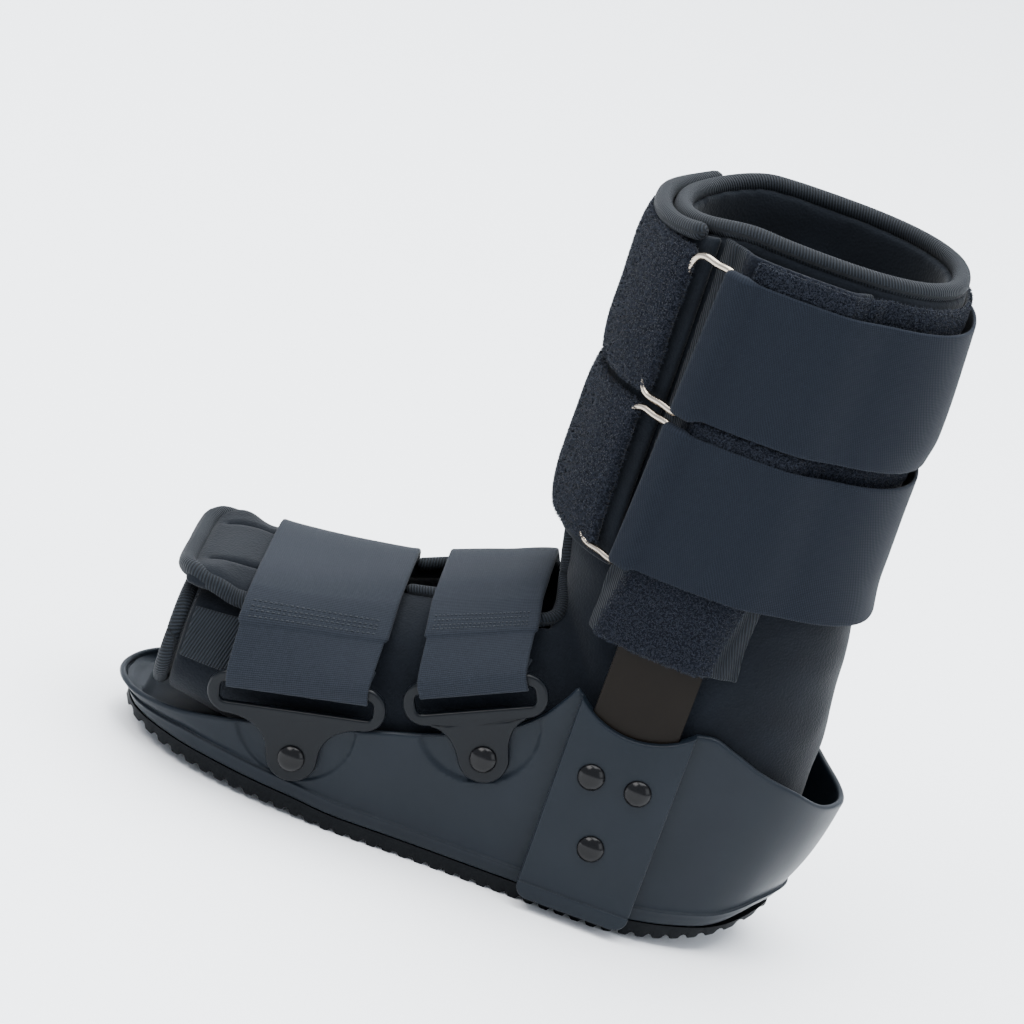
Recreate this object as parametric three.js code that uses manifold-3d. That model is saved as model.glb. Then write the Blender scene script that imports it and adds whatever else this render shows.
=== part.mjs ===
// Medical walking boot: a hard plastic tub on a ribbed rubber sole, two metal uprights, a padded
// bootie inside it, and the straps that hold a foot and a lower leg in.
//
// Millimetres, +Z up. The toe points to -X, the wearer's left side is -Y. The origin lies on the
// floor under the middle of the sole, and the boot stands flat on it. Every solid is closed, and
// pieces that touch keep the clearance GAP.

import * as THREE from 'three';
import { mergeVertices } from 'three/addons/utils/BufferGeometryUtils.js';
import Module from 'manifold-3d';

const wasm = await Module();
wasm.setup();

// Driving sizes: clearances
const GAP = 0.3;
const SLIDE = 0.5;

// Driving sizes: tub and sole
const SHELL_LENGTH = 265;
const SHELL_WIDTH = 103;
const RIM_HEIGHT = 85;
const WALL = 2.6;
const FLOOR = 3;
const TUCK = 12;
const TUB_CHAMFER = 1.2;
const LEDGE_HEIGHT = 6;
const LEDGE_SHARE = 0.45;
const LEDGE_TAPER = 0.6;
const RIM_ROUND = 1.3;
const FLOOR_DROP = 2.4;
const LEDGE_PROUD = 0.8;
const ROCKER_HEIGHT = 16;
const SOLE_THICKNESS = 6;
const SOLE_INSET = 0.8;
const RIB_PITCH = 6;
const RIB_DEPTH = 1.5;

// Driving sizes: uprights and the panels that hold them
const STRUT_X = 50.5;
const STRUT_WIDTH = 32;
const STRUT_THICKNESS = 2.8;
const STRUT_FOOT = 22;
const STRUT_TOP_DROP = 8.5;
const PANEL_WIDTH = 43;
const PANEL_PROUD = 1.8;
const PANEL_WALL = 2.6;
const PANEL_FOOT = 4.6;
const PANEL_CORNER = 5;
const PANEL_DRAW = 1;
const PANEL_DIP = 9;
const RIVET_HEAD = 10;
const RIVET_DOME = 2.6;
const RIVET_SHANK = 4.4;
const RIVET_PAIR_Z = 56.7;
const RIVET_PAIR_PITCH = 17.5;
const RIVET_LOW_Z = 31;

// Driving sizes: bootie
const LEG_AXIS_X = 53.5;
const LEG_LOW = 45;
const LEG_TOP = 256.5;
const LEG_DEPTH = 110;
const STRUT_CLEARANCE = 0.9;
const LEG_WALL = 8;
const TOP_DIP = 8.5;
const TOP_DIP_LENGTH = 30;
const LEG_SQUARE = 2.4;
const FOOT_FRONT = -113;
const FOOT_LENGTH = 228;
const FOOT_HEIGHT = 100;
const FOOT_CLEARANCE = 6;
const FOOT_WALL = 6;
const FOOT_ROUND = 2.4;
const WINDOW_FRONT = -48;
const WINDOW_BACK = 10.5;
const WINDOW_HALF = 33;
const WINDOW_LOW = 60;
const WINDOW_TOP = 134;
const TRIM = 6.6;
const TOE_TRIM = 5.6;
const BINDING = 5;

// Driving sizes: toe flap
const FLAP_FRONT = -118;
const FLAP_LENGTH = 71;
const FLAP_THICKNESS = 8;
const FLAP_EDGE = 37.5;

// Driving sizes: shin flap, sleeves and leg straps
const SHIN_FLAP = 3;
const SHIN_FLAP_LOW = 131;
const SHIN_FLAP_EDGE_X = 20;
const SHIN_STRAP = 4.6;
const SLEEVE_WIDTH = 52;
const SLEEVE_LOW = 107;
const SLEEVE_TOP_DROP = 1.5;
const SLEEVE_EDGE = 2.4;
const SLEEVE_COVER = 3.4;
const LEG_WEBBING_WIDTH = 52;
const LEG_WEBBING_DROP = 9;
const LEG_WEBBING_PITCH = 59.5;
const PILE = 1.7;
const WEBBING = 1.4;
const FOLD = 4.6;
const FOLD_REACH = 3;
const RING_WIRE = 2.6;
const RING_SPAN = 13.5;
const RING_X = 20.2;
const RING_CORNER = 3.5;
const RING_CLEARANCE = 0.4;

// Driving sizes: foot straps and their plastic loops
const TOE_STRAP_WIDTH = 51;
const INSTEP_STRAP_WIDTH = 39;
const STRAP = 1.7;
const STRAP_REST = 0.7;
const TURN_SQUARE = 4;
const PATCH = 1.2;
const PATCH_TURN = 30;
const PATCH_LENGTH = 50;
const PATCH_STEP = 2;
const LOOP_PLATE = 3;
const LOOP_RIM = 4.6;
const LOOP_BOSS = 9.3;
const LOOP_REACH = 18.5;
const SLOT_HEIGHT = 7.4;
const SLOT_SPARE = 2.2;
const RECESS_DEPTH = 1;
const RECESS_RADIUS = 22.5;

// Fineness of the facets
const SIDE_STATIONS = 20;
const LEG_FACETS = 30;
const FOOT_FACETS = 24;
const RIVET_SIDES = 8;
const RECESS_SIDES = 12;
const TRIM_SIDES = 6;
const BINDING_STEPS = 16;
const FLAP_TRIM_STEPS = 18;

// Sizes that follow from the others
const PANEL_FACE = SHELL_WIDTH / 2 + PANEL_PROUD;
const STRUT_FACE = PANEL_FACE - PANEL_WALL - GAP - STRUT_THICKNESS;
const LEG_WIDTH = 2 * (STRUT_FACE - STRUT_CLEARANCE);
const FOOT_WIDTH = SHELL_WIDTH - 2 * FOOT_CLEARANCE;
const STRUT_TOP = LEG_TOP - STRUT_TOP_DROP;
const SLEEVE_TOP = LEG_TOP - SLEEVE_TOP_DROP;
const UPPER_STRAP_TOP = LEG_TOP - LEG_WEBBING_DROP;
const LOWER_STRAP_TOP = UPPER_STRAP_TOP - LEG_WEBBING_PITCH;
const FLAP_SEAT = GAP * 2;
const TRIM_LIFT = GAP * 4;

// Plan outline of the tub at its rim: along is a share of the length from the middle, half is a
// share of the width, tuck is the share of TUCK that the wall draws in at its foot
const OUTLINE = [
  { along: -0.5, half: 0, tuck: 0.34 },
  { along: -0.477, half: 0.2, tuck: 0.34 },
  { along: -0.409, half: 0.355, tuck: 0.36 },
  { along: -0.345, half: 0.43, tuck: 0.38 },
  { along: -0.26, half: 0.482, tuck: 0.38 },
  { along: -0.16, half: 0.5, tuck: 0.36 },
  { along: -0.04, half: 0.487, tuck: 0.3 },
  { along: 0.11, half: 0.481, tuck: 0.24 },
  { along: 0.27, half: 0.479, tuck: 0.24 },
  { along: 0.35, half: 0.443, tuck: 0.4 },
  { along: 0.425, half: 0.355, tuck: 0.7 },
  { along: 0.477, half: 0.2, tuck: 0.95 },
  { along: 0.5, half: 0, tuck: 1 },
];

// Height of the rim beside the foot: along as above, rise is a share of RIM_HEIGHT
const RIM = [
  { along: -0.5, rise: 0.2 },
  { along: -0.46, rise: 0.215 },
  { along: -0.41, rise: 0.245 },
  { along: -0.29, rise: 0.365 },
  { along: -0.135, rise: 0.52 },
  { along: -0.062, rise: 0.59 },
  { along: 0.03, rise: 0.73 },
  { along: 0.066, rise: 0.825 },
  { along: 0.092, rise: 0.95 },
  { along: 0.101, rise: 1 },
  { along: 0.109, rise: 0.985 },
  { along: 0.272, rise: 0.985 },
  { along: 0.293, rise: 0.993 },
  { along: 0.33, rise: 0.955 },
  { along: 0.37, rise: 0.9 },
  { along: 0.43, rise: 0.835 },
  { along: 0.475, rise: 0.765 },
  { along: 0.5, rise: 0.745 },
];

// How the tub wall leans from its foot to its rim: tuck is the share left of the draw at the foot
const WALL_LEVELS = [
  { level: 0.16, tuck: 0.58 },
  { level: 0.4, tuck: 0.34 },
  { level: 0.7, tuck: 0.14 },
  { level: 1, tuck: 0 },
];

// Underside of the sole: rise is a share of ROCKER_HEIGHT, thick a share of SOLE_THICKNESS
const ROCKER = [
  { along: -0.5, rise: 0.7, thick: 0.4 },
  { along: -0.466, rise: 0.42, thick: 0.5 },
  { along: -0.4, rise: 0.24, thick: 0.8 },
  { along: -0.3, rise: 0.12, thick: 1 },
  { along: -0.22, rise: 0.08, thick: 1 },
  { along: -0.145, rise: 0, thick: 1 },
  { along: 0.232, rise: 0, thick: 1 },
  { along: 0.27, rise: 0.07, thick: 1 },
  { along: 0.326, rise: 0.22, thick: 0.9 },
  { along: 0.383, rise: 0.47, thick: 0.6 },
  { along: 0.42, rise: 0.74, thick: 0.4 },
  { along: 0.46, rise: 1, thick: 0.34 },
  { along: 0.5, rise: 1.1, thick: 0.34 },
];

// Sections of the bootie's leg: rise is a share of its height, front and back are shares of
// LEG_DEPTH from the leg's axis, side is a share of LEG_WIDTH
const LEG = [
  { rise: 0, front: 0.34, back: 0.565, side: 0.46 },
  { rise: 0.08, front: 0.385, back: 0.58, side: 0.475 },
  { rise: 0.19, front: 0.395, back: 0.573, side: 0.495 },
  { rise: 0.285, front: 0.405, back: 0.556, side: 0.5 },
  { rise: 0.4, front: 0.46, back: 0.53, side: 0.5 },
  { rise: 0.5, front: 0.477, back: 0.505, side: 0.5 },
  { rise: 0.69, front: 0.481, back: 0.499, side: 0.5 },
  { rise: 0.76, front: 0.486, back: 0.516, side: 0.5 },
  { rise: 1, front: 0.493, back: 0.493, side: 0.5 },
];

// Sections of the bootie's foot: along is a share of its length from the toe opening, lift and
// top are shares of FOOT_HEIGHT above the tub's floor, side is a share of FOOT_WIDTH, and square
// says how flat the section is above its widest place
const FOOT = [
  { along: 0, lift: 0.085, top: 0.575, side: 0.46, square: 4.2 },
  { along: 0.06, lift: 0.065, top: 0.6, side: 0.478, square: 4 },
  { along: 0.12, lift: 0.045, top: 0.635, side: 0.49, square: 3.7 },
  { along: 0.22, lift: 0.012, top: 0.705, side: 0.5, square: 3.2 },
  { along: 0.32, lift: 0, top: 0.785, side: 0.5, square: 2.7 },
  { along: 0.43, lift: 0, top: 0.885, side: 0.488, square: 2.8 },
  { along: 0.53, lift: 0, top: 0.965, side: 0.484, square: 2.8 },
  { along: 0.64, lift: 0, top: 0.93, side: 0.484, square: 2.4 },
  { along: 0.8, lift: 0.01, top: 0.8, side: 0.47, square: 2.4 },
  { along: 0.92, lift: 0.06, top: 0.6, side: 0.39, square: 2.4 },
  { along: 1, lift: 0.16, top: 0.45, side: 0.22, square: 2.4 },
];

// Edge of the instep window seen from above: along is a share from its front to its back, half
// is a share of WINDOW_HALF
const WINDOW = [
  { along: 0, half: 0.25 },
  { along: 0.08, half: 0.45 },
  { along: 0.3, half: 0.57 },
  { along: 0.6, half: 0.68 },
  { along: 0.85, half: 0.95 },
  { along: 1, half: 1 },
];

// Back edge of the window seen from the side: rise is a share of the height from the window's
// low level to its top, draw is how far it draws forward, as a share of its length
const WINDOW_SIDE = [
  { rise: 0, draw: 0.03 },
  { rise: 0.5, draw: 0 },
  { rise: 0.58, draw: 0 },
  { rise: 0.75, draw: 0.043 },
  { rise: 0.9, draw: 0.082 },
  { rise: 1, draw: 0.105 },
];

// Thickness of the toe flap as a share of FLAP_THICKNESS: share runs from its front edge to its
// end under the strap
const FLAP = [
  { share: 0, thick: 0.5 },
  { share: 0.05, thick: 0.8 },
  { share: 0.16, thick: 1 },
  { share: 0.4, thick: 0.72 },
  { share: 0.75, thick: 0.4 },
  { share: 1, thick: 0.25 },
];

// The two foot straps: along is where its loop is riveted and middle where it crosses the foot, as
// shares of SHELL_LENGTH; rise is the rivet's height as a share of RIM_HEIGHT; tilt is the angle of
// the loop's slot, and join the angle round the foot at which the strap lies against the bootie
const FOOT_STRAP_TABLE = [
  { name: 'toe', along: -0.2302, rise: 0.2824, tilt: 13, width: TOE_STRAP_WIDTH, middle: -0.2623, join: 165 },
  {
    name: 'instep', along: 0.0132, rise: 0.5706, tilt: 26,
    width: INSTEP_STRAP_WIDTH, middle: -0.0547, join: 153,
  },
];
const FOOT_STRAPS = FOOT_STRAP_TABLE.map((row) => ({
  ...row,
  rivetX: row.along * SHELL_LENGTH,
  rivetZ: row.rise * RIM_HEIGHT,
  middleX: row.middle * SHELL_LENGTH,
}));

// The leg straps: high is the upper edge of the webbing and of the shin strap, and pileOver how far
// the pile band under the webbing shows above it
const LEG_STRAPS = [
  { name: 'lower', high: LOWER_STRAP_TOP, low: LOWER_STRAP_TOP - LEG_WEBBING_WIDTH, pileOver: PILE * 3 },
  { name: 'upper', high: UPPER_STRAP_TOP, low: UPPER_STRAP_TOP - LEG_WEBBING_WIDTH, pileOver: PILE * 4 },
];

// Finishes
const charcoalPlastic = { color: 0x2b323a, roughness: 0.42, metalness: 0 };
const blackPlastic = { color: 0x14171a, roughness: 0.3, metalness: 0 };
const soleRubber = { color: 0x0c0e10, roughness: 0.75, metalness: 0 };
const bronzedSteel = { color: 0x1d1713, roughness: 0.35, metalness: 0.9 };
const paleWire = { color: 0xb5a78f, roughness: 0.25, metalness: 1 };
const velour = { color: 0x0b0e14, roughness: 0.95, metalness: 0 };
const pileFabric = { color: 0x12151d, roughness: 1, metalness: 0 };
const wovenStrap = { color: 0x23272e, roughness: 0.85, metalness: 0 };
const grosgrain = { color: 0x1a1e23, roughness: 0.8, metalness: 0 };

// Reading tables

// Straight lines through one column of a table, read at any place between its rows
function tableLine(rows, at, column) {
  return (value) => {
    const t = THREE.MathUtils.clamp(value, rows[0][at], rows[rows.length - 1][at]);
    let i = 0;
    while (i < rows.length - 2 && t > rows[i + 1][at]) i += 1;
    const share = (t - rows[i][at]) / (rows[i + 1][at] - rows[i][at]);
    return rows[i][column] + (rows[i + 1][column] - rows[i][column]) * share;
  };
}

// A smooth curve through one column of a table that never overshoots its rows
function tableCurve(rows, at, column) {
  const slopes = rows.slice(1).map((row, i) => (row[column] - rows[i][column]) / (row[at] - rows[i][at]));
  const tangents = rows.map((row, i) => {
    const before = slopes[Math.max(i - 1, 0)];
    const after = slopes[Math.min(i, slopes.length - 1)];
    return before * after <= 0 ? 0 : (2 * before * after) / (before + after);
  });
  return (value) => {
    const t = THREE.MathUtils.clamp(value, rows[0][at], rows[rows.length - 1][at]);
    let i = 0;
    while (i < slopes.length - 1 && t > rows[i + 1][at]) i += 1;
    const span = rows[i + 1][at] - rows[i][at];
    const s = (t - rows[i][at]) / span;
    const rest = 1 - s;
    const start = rows[i][column] * (1 + 2 * s) * rest * rest + tangents[i] * span * s * rest * rest;
    const end = rows[i + 1][column] * (3 - 2 * s) * s * s - tangents[i + 1] * span * s * s * rest;
    return start + end;
  };
}

const rimRise = tableCurve(RIM, 'along', 'rise');
const rockerRise = tableCurve(ROCKER, 'along', 'rise');
const soleShare = tableCurve(ROCKER, 'along', 'thick');
const tuckShare = tableCurve(OUTLINE, 'along', 'tuck');
const legFront = tableLine(LEG, 'rise', 'front');
const legBack = tableLine(LEG, 'rise', 'back');
const legSide = tableLine(LEG, 'rise', 'side');
const footLift = tableLine(FOOT, 'along', 'lift');
const footTop = tableLine(FOOT, 'along', 'top');
const footSide = tableLine(FOOT, 'along', 'side');
const footSquare = tableLine(FOOT, 'along', 'square');
const windowHalf = tableCurve(WINDOW, 'along', 'half');
const windowDraw = tableCurve(WINDOW_SIDE, 'rise', 'draw');

// Making solids

// A closed solid through rings of points, each ring with as many points as the others. lid says
// how the first and the last ring are closed
function ringSolid(rings, lid = fanLid) {
  const count = rings[0].length;
  const positions = rings.flat().flatMap((p) => [p.x, p.y, p.z]);
  const faces = [];
  for (let r = 0; r < rings.length - 1; r += 1) {
    const here = r * count;
    const next = here + count;
    for (let i = 0; i < count; i += 1) {
      const j = (i + 1) % count;
      faces.push(here + i, here + j, next + j, here + i, next + j, next + i);
    }
  }
  const end = (rings.length - 1) * count;
  for (const [a, b, c] of lid(count)) faces.push(c, b, a, end + a, end + b, end + c);
  const geometry = new THREE.BufferGeometry();
  geometry.setAttribute('position', new THREE.Float32BufferAttribute(positions, 3));
  geometry.setIndex(faces);
  return facingOut(geometry);
}

// Lid of a convex ring: triangles from its first point
function fanLid(count) {
  return Array.from({ length: count - 2 }, (_, i) => [0, i + 1, i + 2]);
}

// Lid of a wall's section, which runs out along one face and back along the other
function wallLid(count) {
  const lids = [];
  for (let i = 0; i < count / 2 - 1; i += 1) {
    const [a, b, c, d] = [i, i + 1, count - 2 - i, count - 1 - i];
    lids.push([a, b, d], [b, c, d]);
  }
  return lids;
}

// Lid of a mirrored ring: strips straight across from one side to the other
function mirrorLid(count) {
  const lids = [];
  for (let i = 0; i < count / 2; i += 1) {
    const [a, b, c, d] = [i, i + 1, (count - i - 1) % count, (count - i) % count];
    if (a !== d) lids.push([a, b, d]);
    if (b !== c) lids.push([b, c, d]);
  }
  return lids;
}

function signedVolume(geometry) {
  const at = geometry.getAttribute('position');
  const index = geometry.getIndex();
  const [a, b, c] = [new THREE.Vector3(), new THREE.Vector3(), new THREE.Vector3()];
  let volume = 0;
  for (let i = 0; i < index.count; i += 3) {
    a.fromBufferAttribute(at, index.getX(i));
    b.fromBufferAttribute(at, index.getX(i + 1));
    c.fromBufferAttribute(at, index.getX(i + 2));
    volume += a.dot(b.cross(c)) / 6;
  }
  return volume;
}

function flipped(geometry) {
  const index = Array.from(geometry.getIndex().array);
  for (let i = 0; i < index.length; i += 3) [index[i], index[i + 1]] = [index[i + 1], index[i]];
  geometry.setIndex(index);
  return geometry;
}

function facingOut(geometry) {
  return signedVolume(geometry) < 0 ? flipped(geometry) : geometry;
}

// The same solid on the other side of the boot
function mirrored(geometry) {
  const copy = geometry.clone();
  copy.scale(1, -1, 1);
  return flipped(copy);
}

function welded(geometry) {
  const bare = geometry.clone();
  bare.deleteAttribute('normal');
  bare.deleteAttribute('uv');
  return mergeVertices(bare);
}

function toSolid(geometry) {
  const bare = welded(geometry);
  const vertProperties = new Float32Array(bare.getAttribute('position').array);
  const triVerts = new Uint32Array(bare.getIndex().array);
  return new wasm.Manifold(new wasm.Mesh({ numProp: 3, vertProperties, triVerts }));
}

function toGeometry(solid) {
  const mesh = solid.getMesh();
  const geometry = new THREE.BufferGeometry();
  geometry.setAttribute('position', new THREE.Float32BufferAttribute(mesh.vertProperties, 3));
  geometry.setIndex(Array.from(mesh.triVerts));
  return geometry;
}

// A flat outline drawn in x and z, standing in the boot's side view, from y = near to y = far
function sidePrism(shape, near, far, segments = 12) {
  const settings = { depth: far - near, bevelEnabled: false, curveSegments: segments };
  const geometry = new THREE.ExtrudeGeometry(shape, settings);
  geometry.rotateX(Math.PI / 2);
  geometry.translate(0, far, 0);
  return welded(geometry);
}

// A flat outline drawn in x and y, from z = low to z = high
function planPrism(shape, low, high) {
  const geometry = new THREE.ExtrudeGeometry(shape, { depth: high - low, bevelEnabled: false });
  geometry.translate(0, 0, low);
  return welded(geometry);
}

// A round cord through the given points, with flat ends or closed on itself
function cordSolid(points, diameter, { closed = false, steps = points.length * 2, sides = TRIM_SIDES } = {}) {
  const curve = new THREE.CatmullRomCurve3(points, closed, 'centripetal');
  if (closed) return facingOut(welded(new THREE.TubeGeometry(curve, steps, diameter / 2, sides, true)));
  const round = new THREE.Shape();
  round.absarc(0, 0, diameter / 2, 0, 2 * Math.PI, false);
  const section = new THREE.Shape(round.getSpacedPoints(sides).slice(0, sides));
  const geometry = new THREE.ExtrudeGeometry(section, { steps, bevelEnabled: false, extrudePath: curve });
  return facingOut(welded(geometry));
}

// A pin with a domed head, its head's flat underside at the origin and its shank along -Z
function rivetSolid(head, dome, shank, length) {
  const profile = [
    new THREE.Vector2(0, -length),
    new THREE.Vector2(shank / 2, -length),
    new THREE.Vector2(shank / 2, 0),
    new THREE.Vector2(head / 2, 0),
    new THREE.Vector2(head * 0.36, dome * 0.72),
    new THREE.Vector2(0, dome),
  ];
  return facingOut(welded(new THREE.LatheGeometry(profile, RIVET_SIDES)));
}

// Tub and sole

const outlinePoints = OUTLINE.map(
  (row) => new THREE.Vector3(row.along * SHELL_LENGTH, -row.half * SHELL_WIDTH, 0),
);
const outlineFar = outlinePoints.slice(1, -1).reverse().map((p) => new THREE.Vector3(p.x, -p.y, 0));
const outlineCurve = new THREE.CatmullRomCurve3([...outlinePoints, ...outlineFar], true, 'centripetal');
const shareAlong = (x) => x / SHELL_LENGTH;
const rocker = (x) => rockerRise(shareAlong(x)) * ROCKER_HEIGHT;
const soleTop = (x) => rocker(x) + soleShare(shareAlong(x)) * SOLE_THICKNESS;
const PANEL_LEFT = STRUT_X - PANEL_WIDTH / 2;
const PANEL_RIGHT = STRUT_X + PANEL_WIDTH / 2;

// Concave top edge of the upright's panel: an arc that dips by PANEL_DIP between its two corners
function panelTop(x) {
  const half = PANEL_WIDTH / 2;
  const radius = (half * half + PANEL_DIP * PANEL_DIP) / (2 * PANEL_DIP);
  const corner = RIM_HEIGHT * RIM.find((row) => row.along > 0.105).rise;
  const across = THREE.MathUtils.clamp(x - STRUT_X, -half, half);
  return corner - PANEL_DIP + radius - Math.sqrt(radius * radius - across * across);
}

function rimHeight(x) {
  const inPanel = x > PANEL_LEFT && x < PANEL_RIGHT;
  const rim = rimRise(shareAlong(x)) * RIM_HEIGHT;
  return inPanel ? Math.min(panelTop(x), rim) : rim;
}

// Stations along one side of the tub: a place on the rim's outline, the way into the tub and the
// draw of the wall there. A finer stretch follows the peak before the panel
const sideStations = outlineStations();

function outlineStations() {
  const shares = Array.from({ length: SIDE_STATIONS + 1 }, (_, i) => i / SIDE_STATIONS / 2);
  const stations = shares.map((share) => {
    const place = outlineCurve.getPointAt(share);
    const along = outlineCurve.getTangentAt(share);
    const inward = new THREE.Vector3(-along.y, along.x, 0);
    return { place, inward, tuck: TUCK * tuckShare(shareAlong(place.x)) };
  });
  stations[0].place.y = 0;
  stations[0].inward.set(1, 0, 0);
  stations[SIDE_STATIONS].place.y = 0;
  stations[SIDE_STATIONS].inward.set(-1, 0, 0);
  const finer = [];
  stations.forEach((station, i) => {
    finer.push(station);
    const next = stations[i + 1];
    if (!next) return;
    const nearPeak = next.place.x > PANEL_LEFT - 22 && station.place.x < PANEL_LEFT + 4;
    const parts = nearPeak ? 2 : 1;
    for (let k = 1; k < parts; k += 1) {
      const place = station.place.clone().lerp(next.place, k / parts);
      const inward = station.inward.clone().lerp(next.inward, k / parts).normalize();
      finer.push({ place, inward, tuck: TUCK * tuckShare(shareAlong(place.x)) });
    }
  });
  return finer;
}

// One ring of the tub: height and draw are asked for each station, and the far side mirrors the
// near one
function tubRing(heightAt, insetAt) {
  const near = sideStations.map((station) => {
    const point = station.place.clone().addScaledVector(station.inward, insetAt(station));
    point.z = heightAt(station, point);
    return point;
  });
  const far = near.slice(1, -1).reverse().map((p) => new THREE.Vector3(p.x, -p.y, p.z));
  return [...near, ...far];
}

const footInset = (station) => station.tuck;
const footHeight = (station, point) => soleTop(point.x) + GAP;
const rimAt = (station) => rimHeight(station.place.x);
const ledgeRise = (station, point) => {
  const tall = rimAt(station) - footHeight(station, point);
  return Math.min(LEDGE_HEIGHT, LEDGE_SHARE * tall);
};
const levelHeight = (station, point, level) => {
  const low = footHeight(station, point);
  return low + (rimAt(station) - low) * level;
};

// The tub's rings from the underside, up the outer wall, over the rim and down inside. grow
// thickens it on every inner side, for trimming what stands in it
function tubSolid(grow = 0) {
  const rings = [
    tubRing(footHeight, (s) => footInset(s) + TUB_CHAMFER),
    tubRing((s, p) => footHeight(s, p) + 0.8, footInset),
    tubRing((s, p) => footHeight(s, p) + ledgeRise(s, p) - 0.3, (s) => footInset(s) * 0.78 - LEDGE_PROUD),
    tubRing((s, p) => footHeight(s, p) + ledgeRise(s, p) + 0.3, (s) => footInset(s) * 0.78),
  ];
  for (const { level, tuck } of WALL_LEVELS.slice(0, -1)) {
    const height = (s, p) => levelHeight(s, p, level) + ledgeRise(s, p) * (1 - level) * LEDGE_TAPER;
    rings.push(tubRing(height, (s) => s.tuck * tuck));
  }
  rings.push(tubRing((s) => rimAt(s) - 1.1, () => 0));
  rings.push(tubRing((s) => rimAt(s) + grow, () => 0.6));
  rings.push(tubRing((s) => rimAt(s) + grow, () => WALL - 0.5 + grow));
  const innerLevels = WALL_LEVELS.slice(1, -1).reverse();
  for (const { level, tuck } of innerLevels) {
    const inset = (s) => s.tuck * tuck + WALL + grow;
    const height = (s, p) => levelHeight(s, p, level) + ledgeRise(s, p) * LEDGE_TAPER;
    rings.push(tubRing((s, p) => Math.min(height(s, p), rimAt(s) - RIM_ROUND), inset));
  }
  const floorHeight = (s, p) => Math.min(footHeight(s, p) + FLOOR, rimAt(s) - FLOOR_DROP) + grow;
  rings.push(tubRing(floorHeight, (s) => s.tuck + WALL + 1.5 + grow));
  return ringSolid(rings, mirrorLid);
}

const tubFloor = (x) => soleTop(x) + GAP + FLOOR;

// The raised panel over an upright, with a concave top and round lower corners, on the -Y side
function panelSolid() {
  const outline = new THREE.Shape();
  const topSteps = 12;
  outline.moveTo(PANEL_LEFT, panelTop(PANEL_LEFT));
  outline.lineTo(PANEL_LEFT + 1, PANEL_FOOT + PANEL_CORNER);
  const low = PANEL_FOOT + PANEL_CORNER;
  const left = PANEL_LEFT + PANEL_DRAW + PANEL_CORNER;
  const right = PANEL_RIGHT - PANEL_CORNER;
  outline.absarc(left, low, PANEL_CORNER, Math.PI, 1.5 * Math.PI, false);
  outline.absarc(right, low, PANEL_CORNER, 1.5 * Math.PI, 2 * Math.PI, false);
  for (let i = 0; i < topSteps; i += 1) {
    const x = PANEL_RIGHT - (PANEL_WIDTH * i) / topSteps;
    outline.lineTo(x, panelTop(x));
  }
  return sidePrism(outline, -PANEL_FACE, -SHELL_WIDTH * 0.458, 3);
}

// Room for an upright behind its panel, open towards the foot
function pocketSolid() {
  const outline = new THREE.Shape();
  const half = STRUT_WIDTH / 2 + SLIDE;
  outline.moveTo(STRUT_X - half, STRUT_FOOT - SLIDE);
  outline.lineTo(STRUT_X + half, STRUT_FOOT - SLIDE);
  outline.lineTo(STRUT_X + half, RIM_HEIGHT * 1.2);
  outline.lineTo(STRUT_X - half, RIM_HEIGHT * 1.2);
  return sidePrism(outline, -PANEL_FACE + PANEL_WALL, -SHELL_WIDTH * 0.4);
}

function soleSolid() {
  const side = new THREE.Shape();
  const front = -SHELL_LENGTH / 2;
  const ribs = Math.floor(SHELL_LENGTH / 2 / RIB_PITCH);
  side.moveTo(front, soleTop(front));
  for (let i = -ribs; i <= ribs; i += 1) {
    const x = (i - 0.25) * RIB_PITCH;
    side.lineTo(x, rocker(x + RIB_PITCH / 4));
    side.lineTo(x + RIB_PITCH / 2, rocker(x + RIB_PITCH / 4));
    side.lineTo(x + RIB_PITCH * 0.75, rocker(x + RIB_PITCH * 0.75) + RIB_DEPTH);
  }
  side.lineTo(-front, soleTop(-front));
  const underside = tubRing(footHeight, (s) => footInset(s) + TUB_CHAMFER).slice(0, sideStations.length);
  for (const point of underside.reverse()) side.lineTo(point.x, point.z - GAP);
  const ring = tubRing(() => 0, (s) => s.tuck + SOLE_INSET);
  const plan = new THREE.Shape(ring.map((p) => new THREE.Vector2(p.x, p.y)));
  const bar = toSolid(sidePrism(side, -SHELL_WIDTH, SHELL_WIDTH));
  return toGeometry(bar.intersect(toSolid(planPrism(plan, -1, RIM_HEIGHT))));
}

// The plane that a loop lies in: it leans out with the tub wall and passes through the wall's
// outer face at the loop's rivet and at the rim above it
function loopSeat(row) {
  const x = row.rivetX;
  const rim = rimHeight(x);
  const half = halfWidthAt(x);
  const lean = (TUCK * tuckShare(shareAlong(x)) * 0.4) / (rim - LEDGE_HEIGHT * 2);
  const tilt = THREE.MathUtils.degToRad(row.tilt);
  const along = new THREE.Vector3(Math.cos(tilt), -Math.sin(tilt) * lean, Math.sin(tilt)).normalize();
  const out = new THREE.Vector3(0, -1, -lean).normalize();
  out.addScaledVector(along, -out.dot(along)).normalize();
  const up = new THREE.Vector3().crossVectors(out, along).negate();
  const wallY = -(half - (rim - row.rivetZ) * lean);
  const origin = new THREE.Vector3(x, wallY, row.rivetZ).addScaledVector(out, -RECESS_DEPTH);
  if (up.z < 0) up.negate();
  return { origin, along, up, out };
}

// Half width of the tub's rim at a place along it
function halfWidthAt(x) {
  let i = 1;
  while (i < sideStations.length - 1 && sideStations[i].place.x < x) i += 1;
  const [a, b] = [sideStations[i - 1].place, sideStations[i].place];
  const share = (x - a.x) / (b.x - a.x);
  return -(a.y + (b.y - a.y) * share);
}

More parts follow.
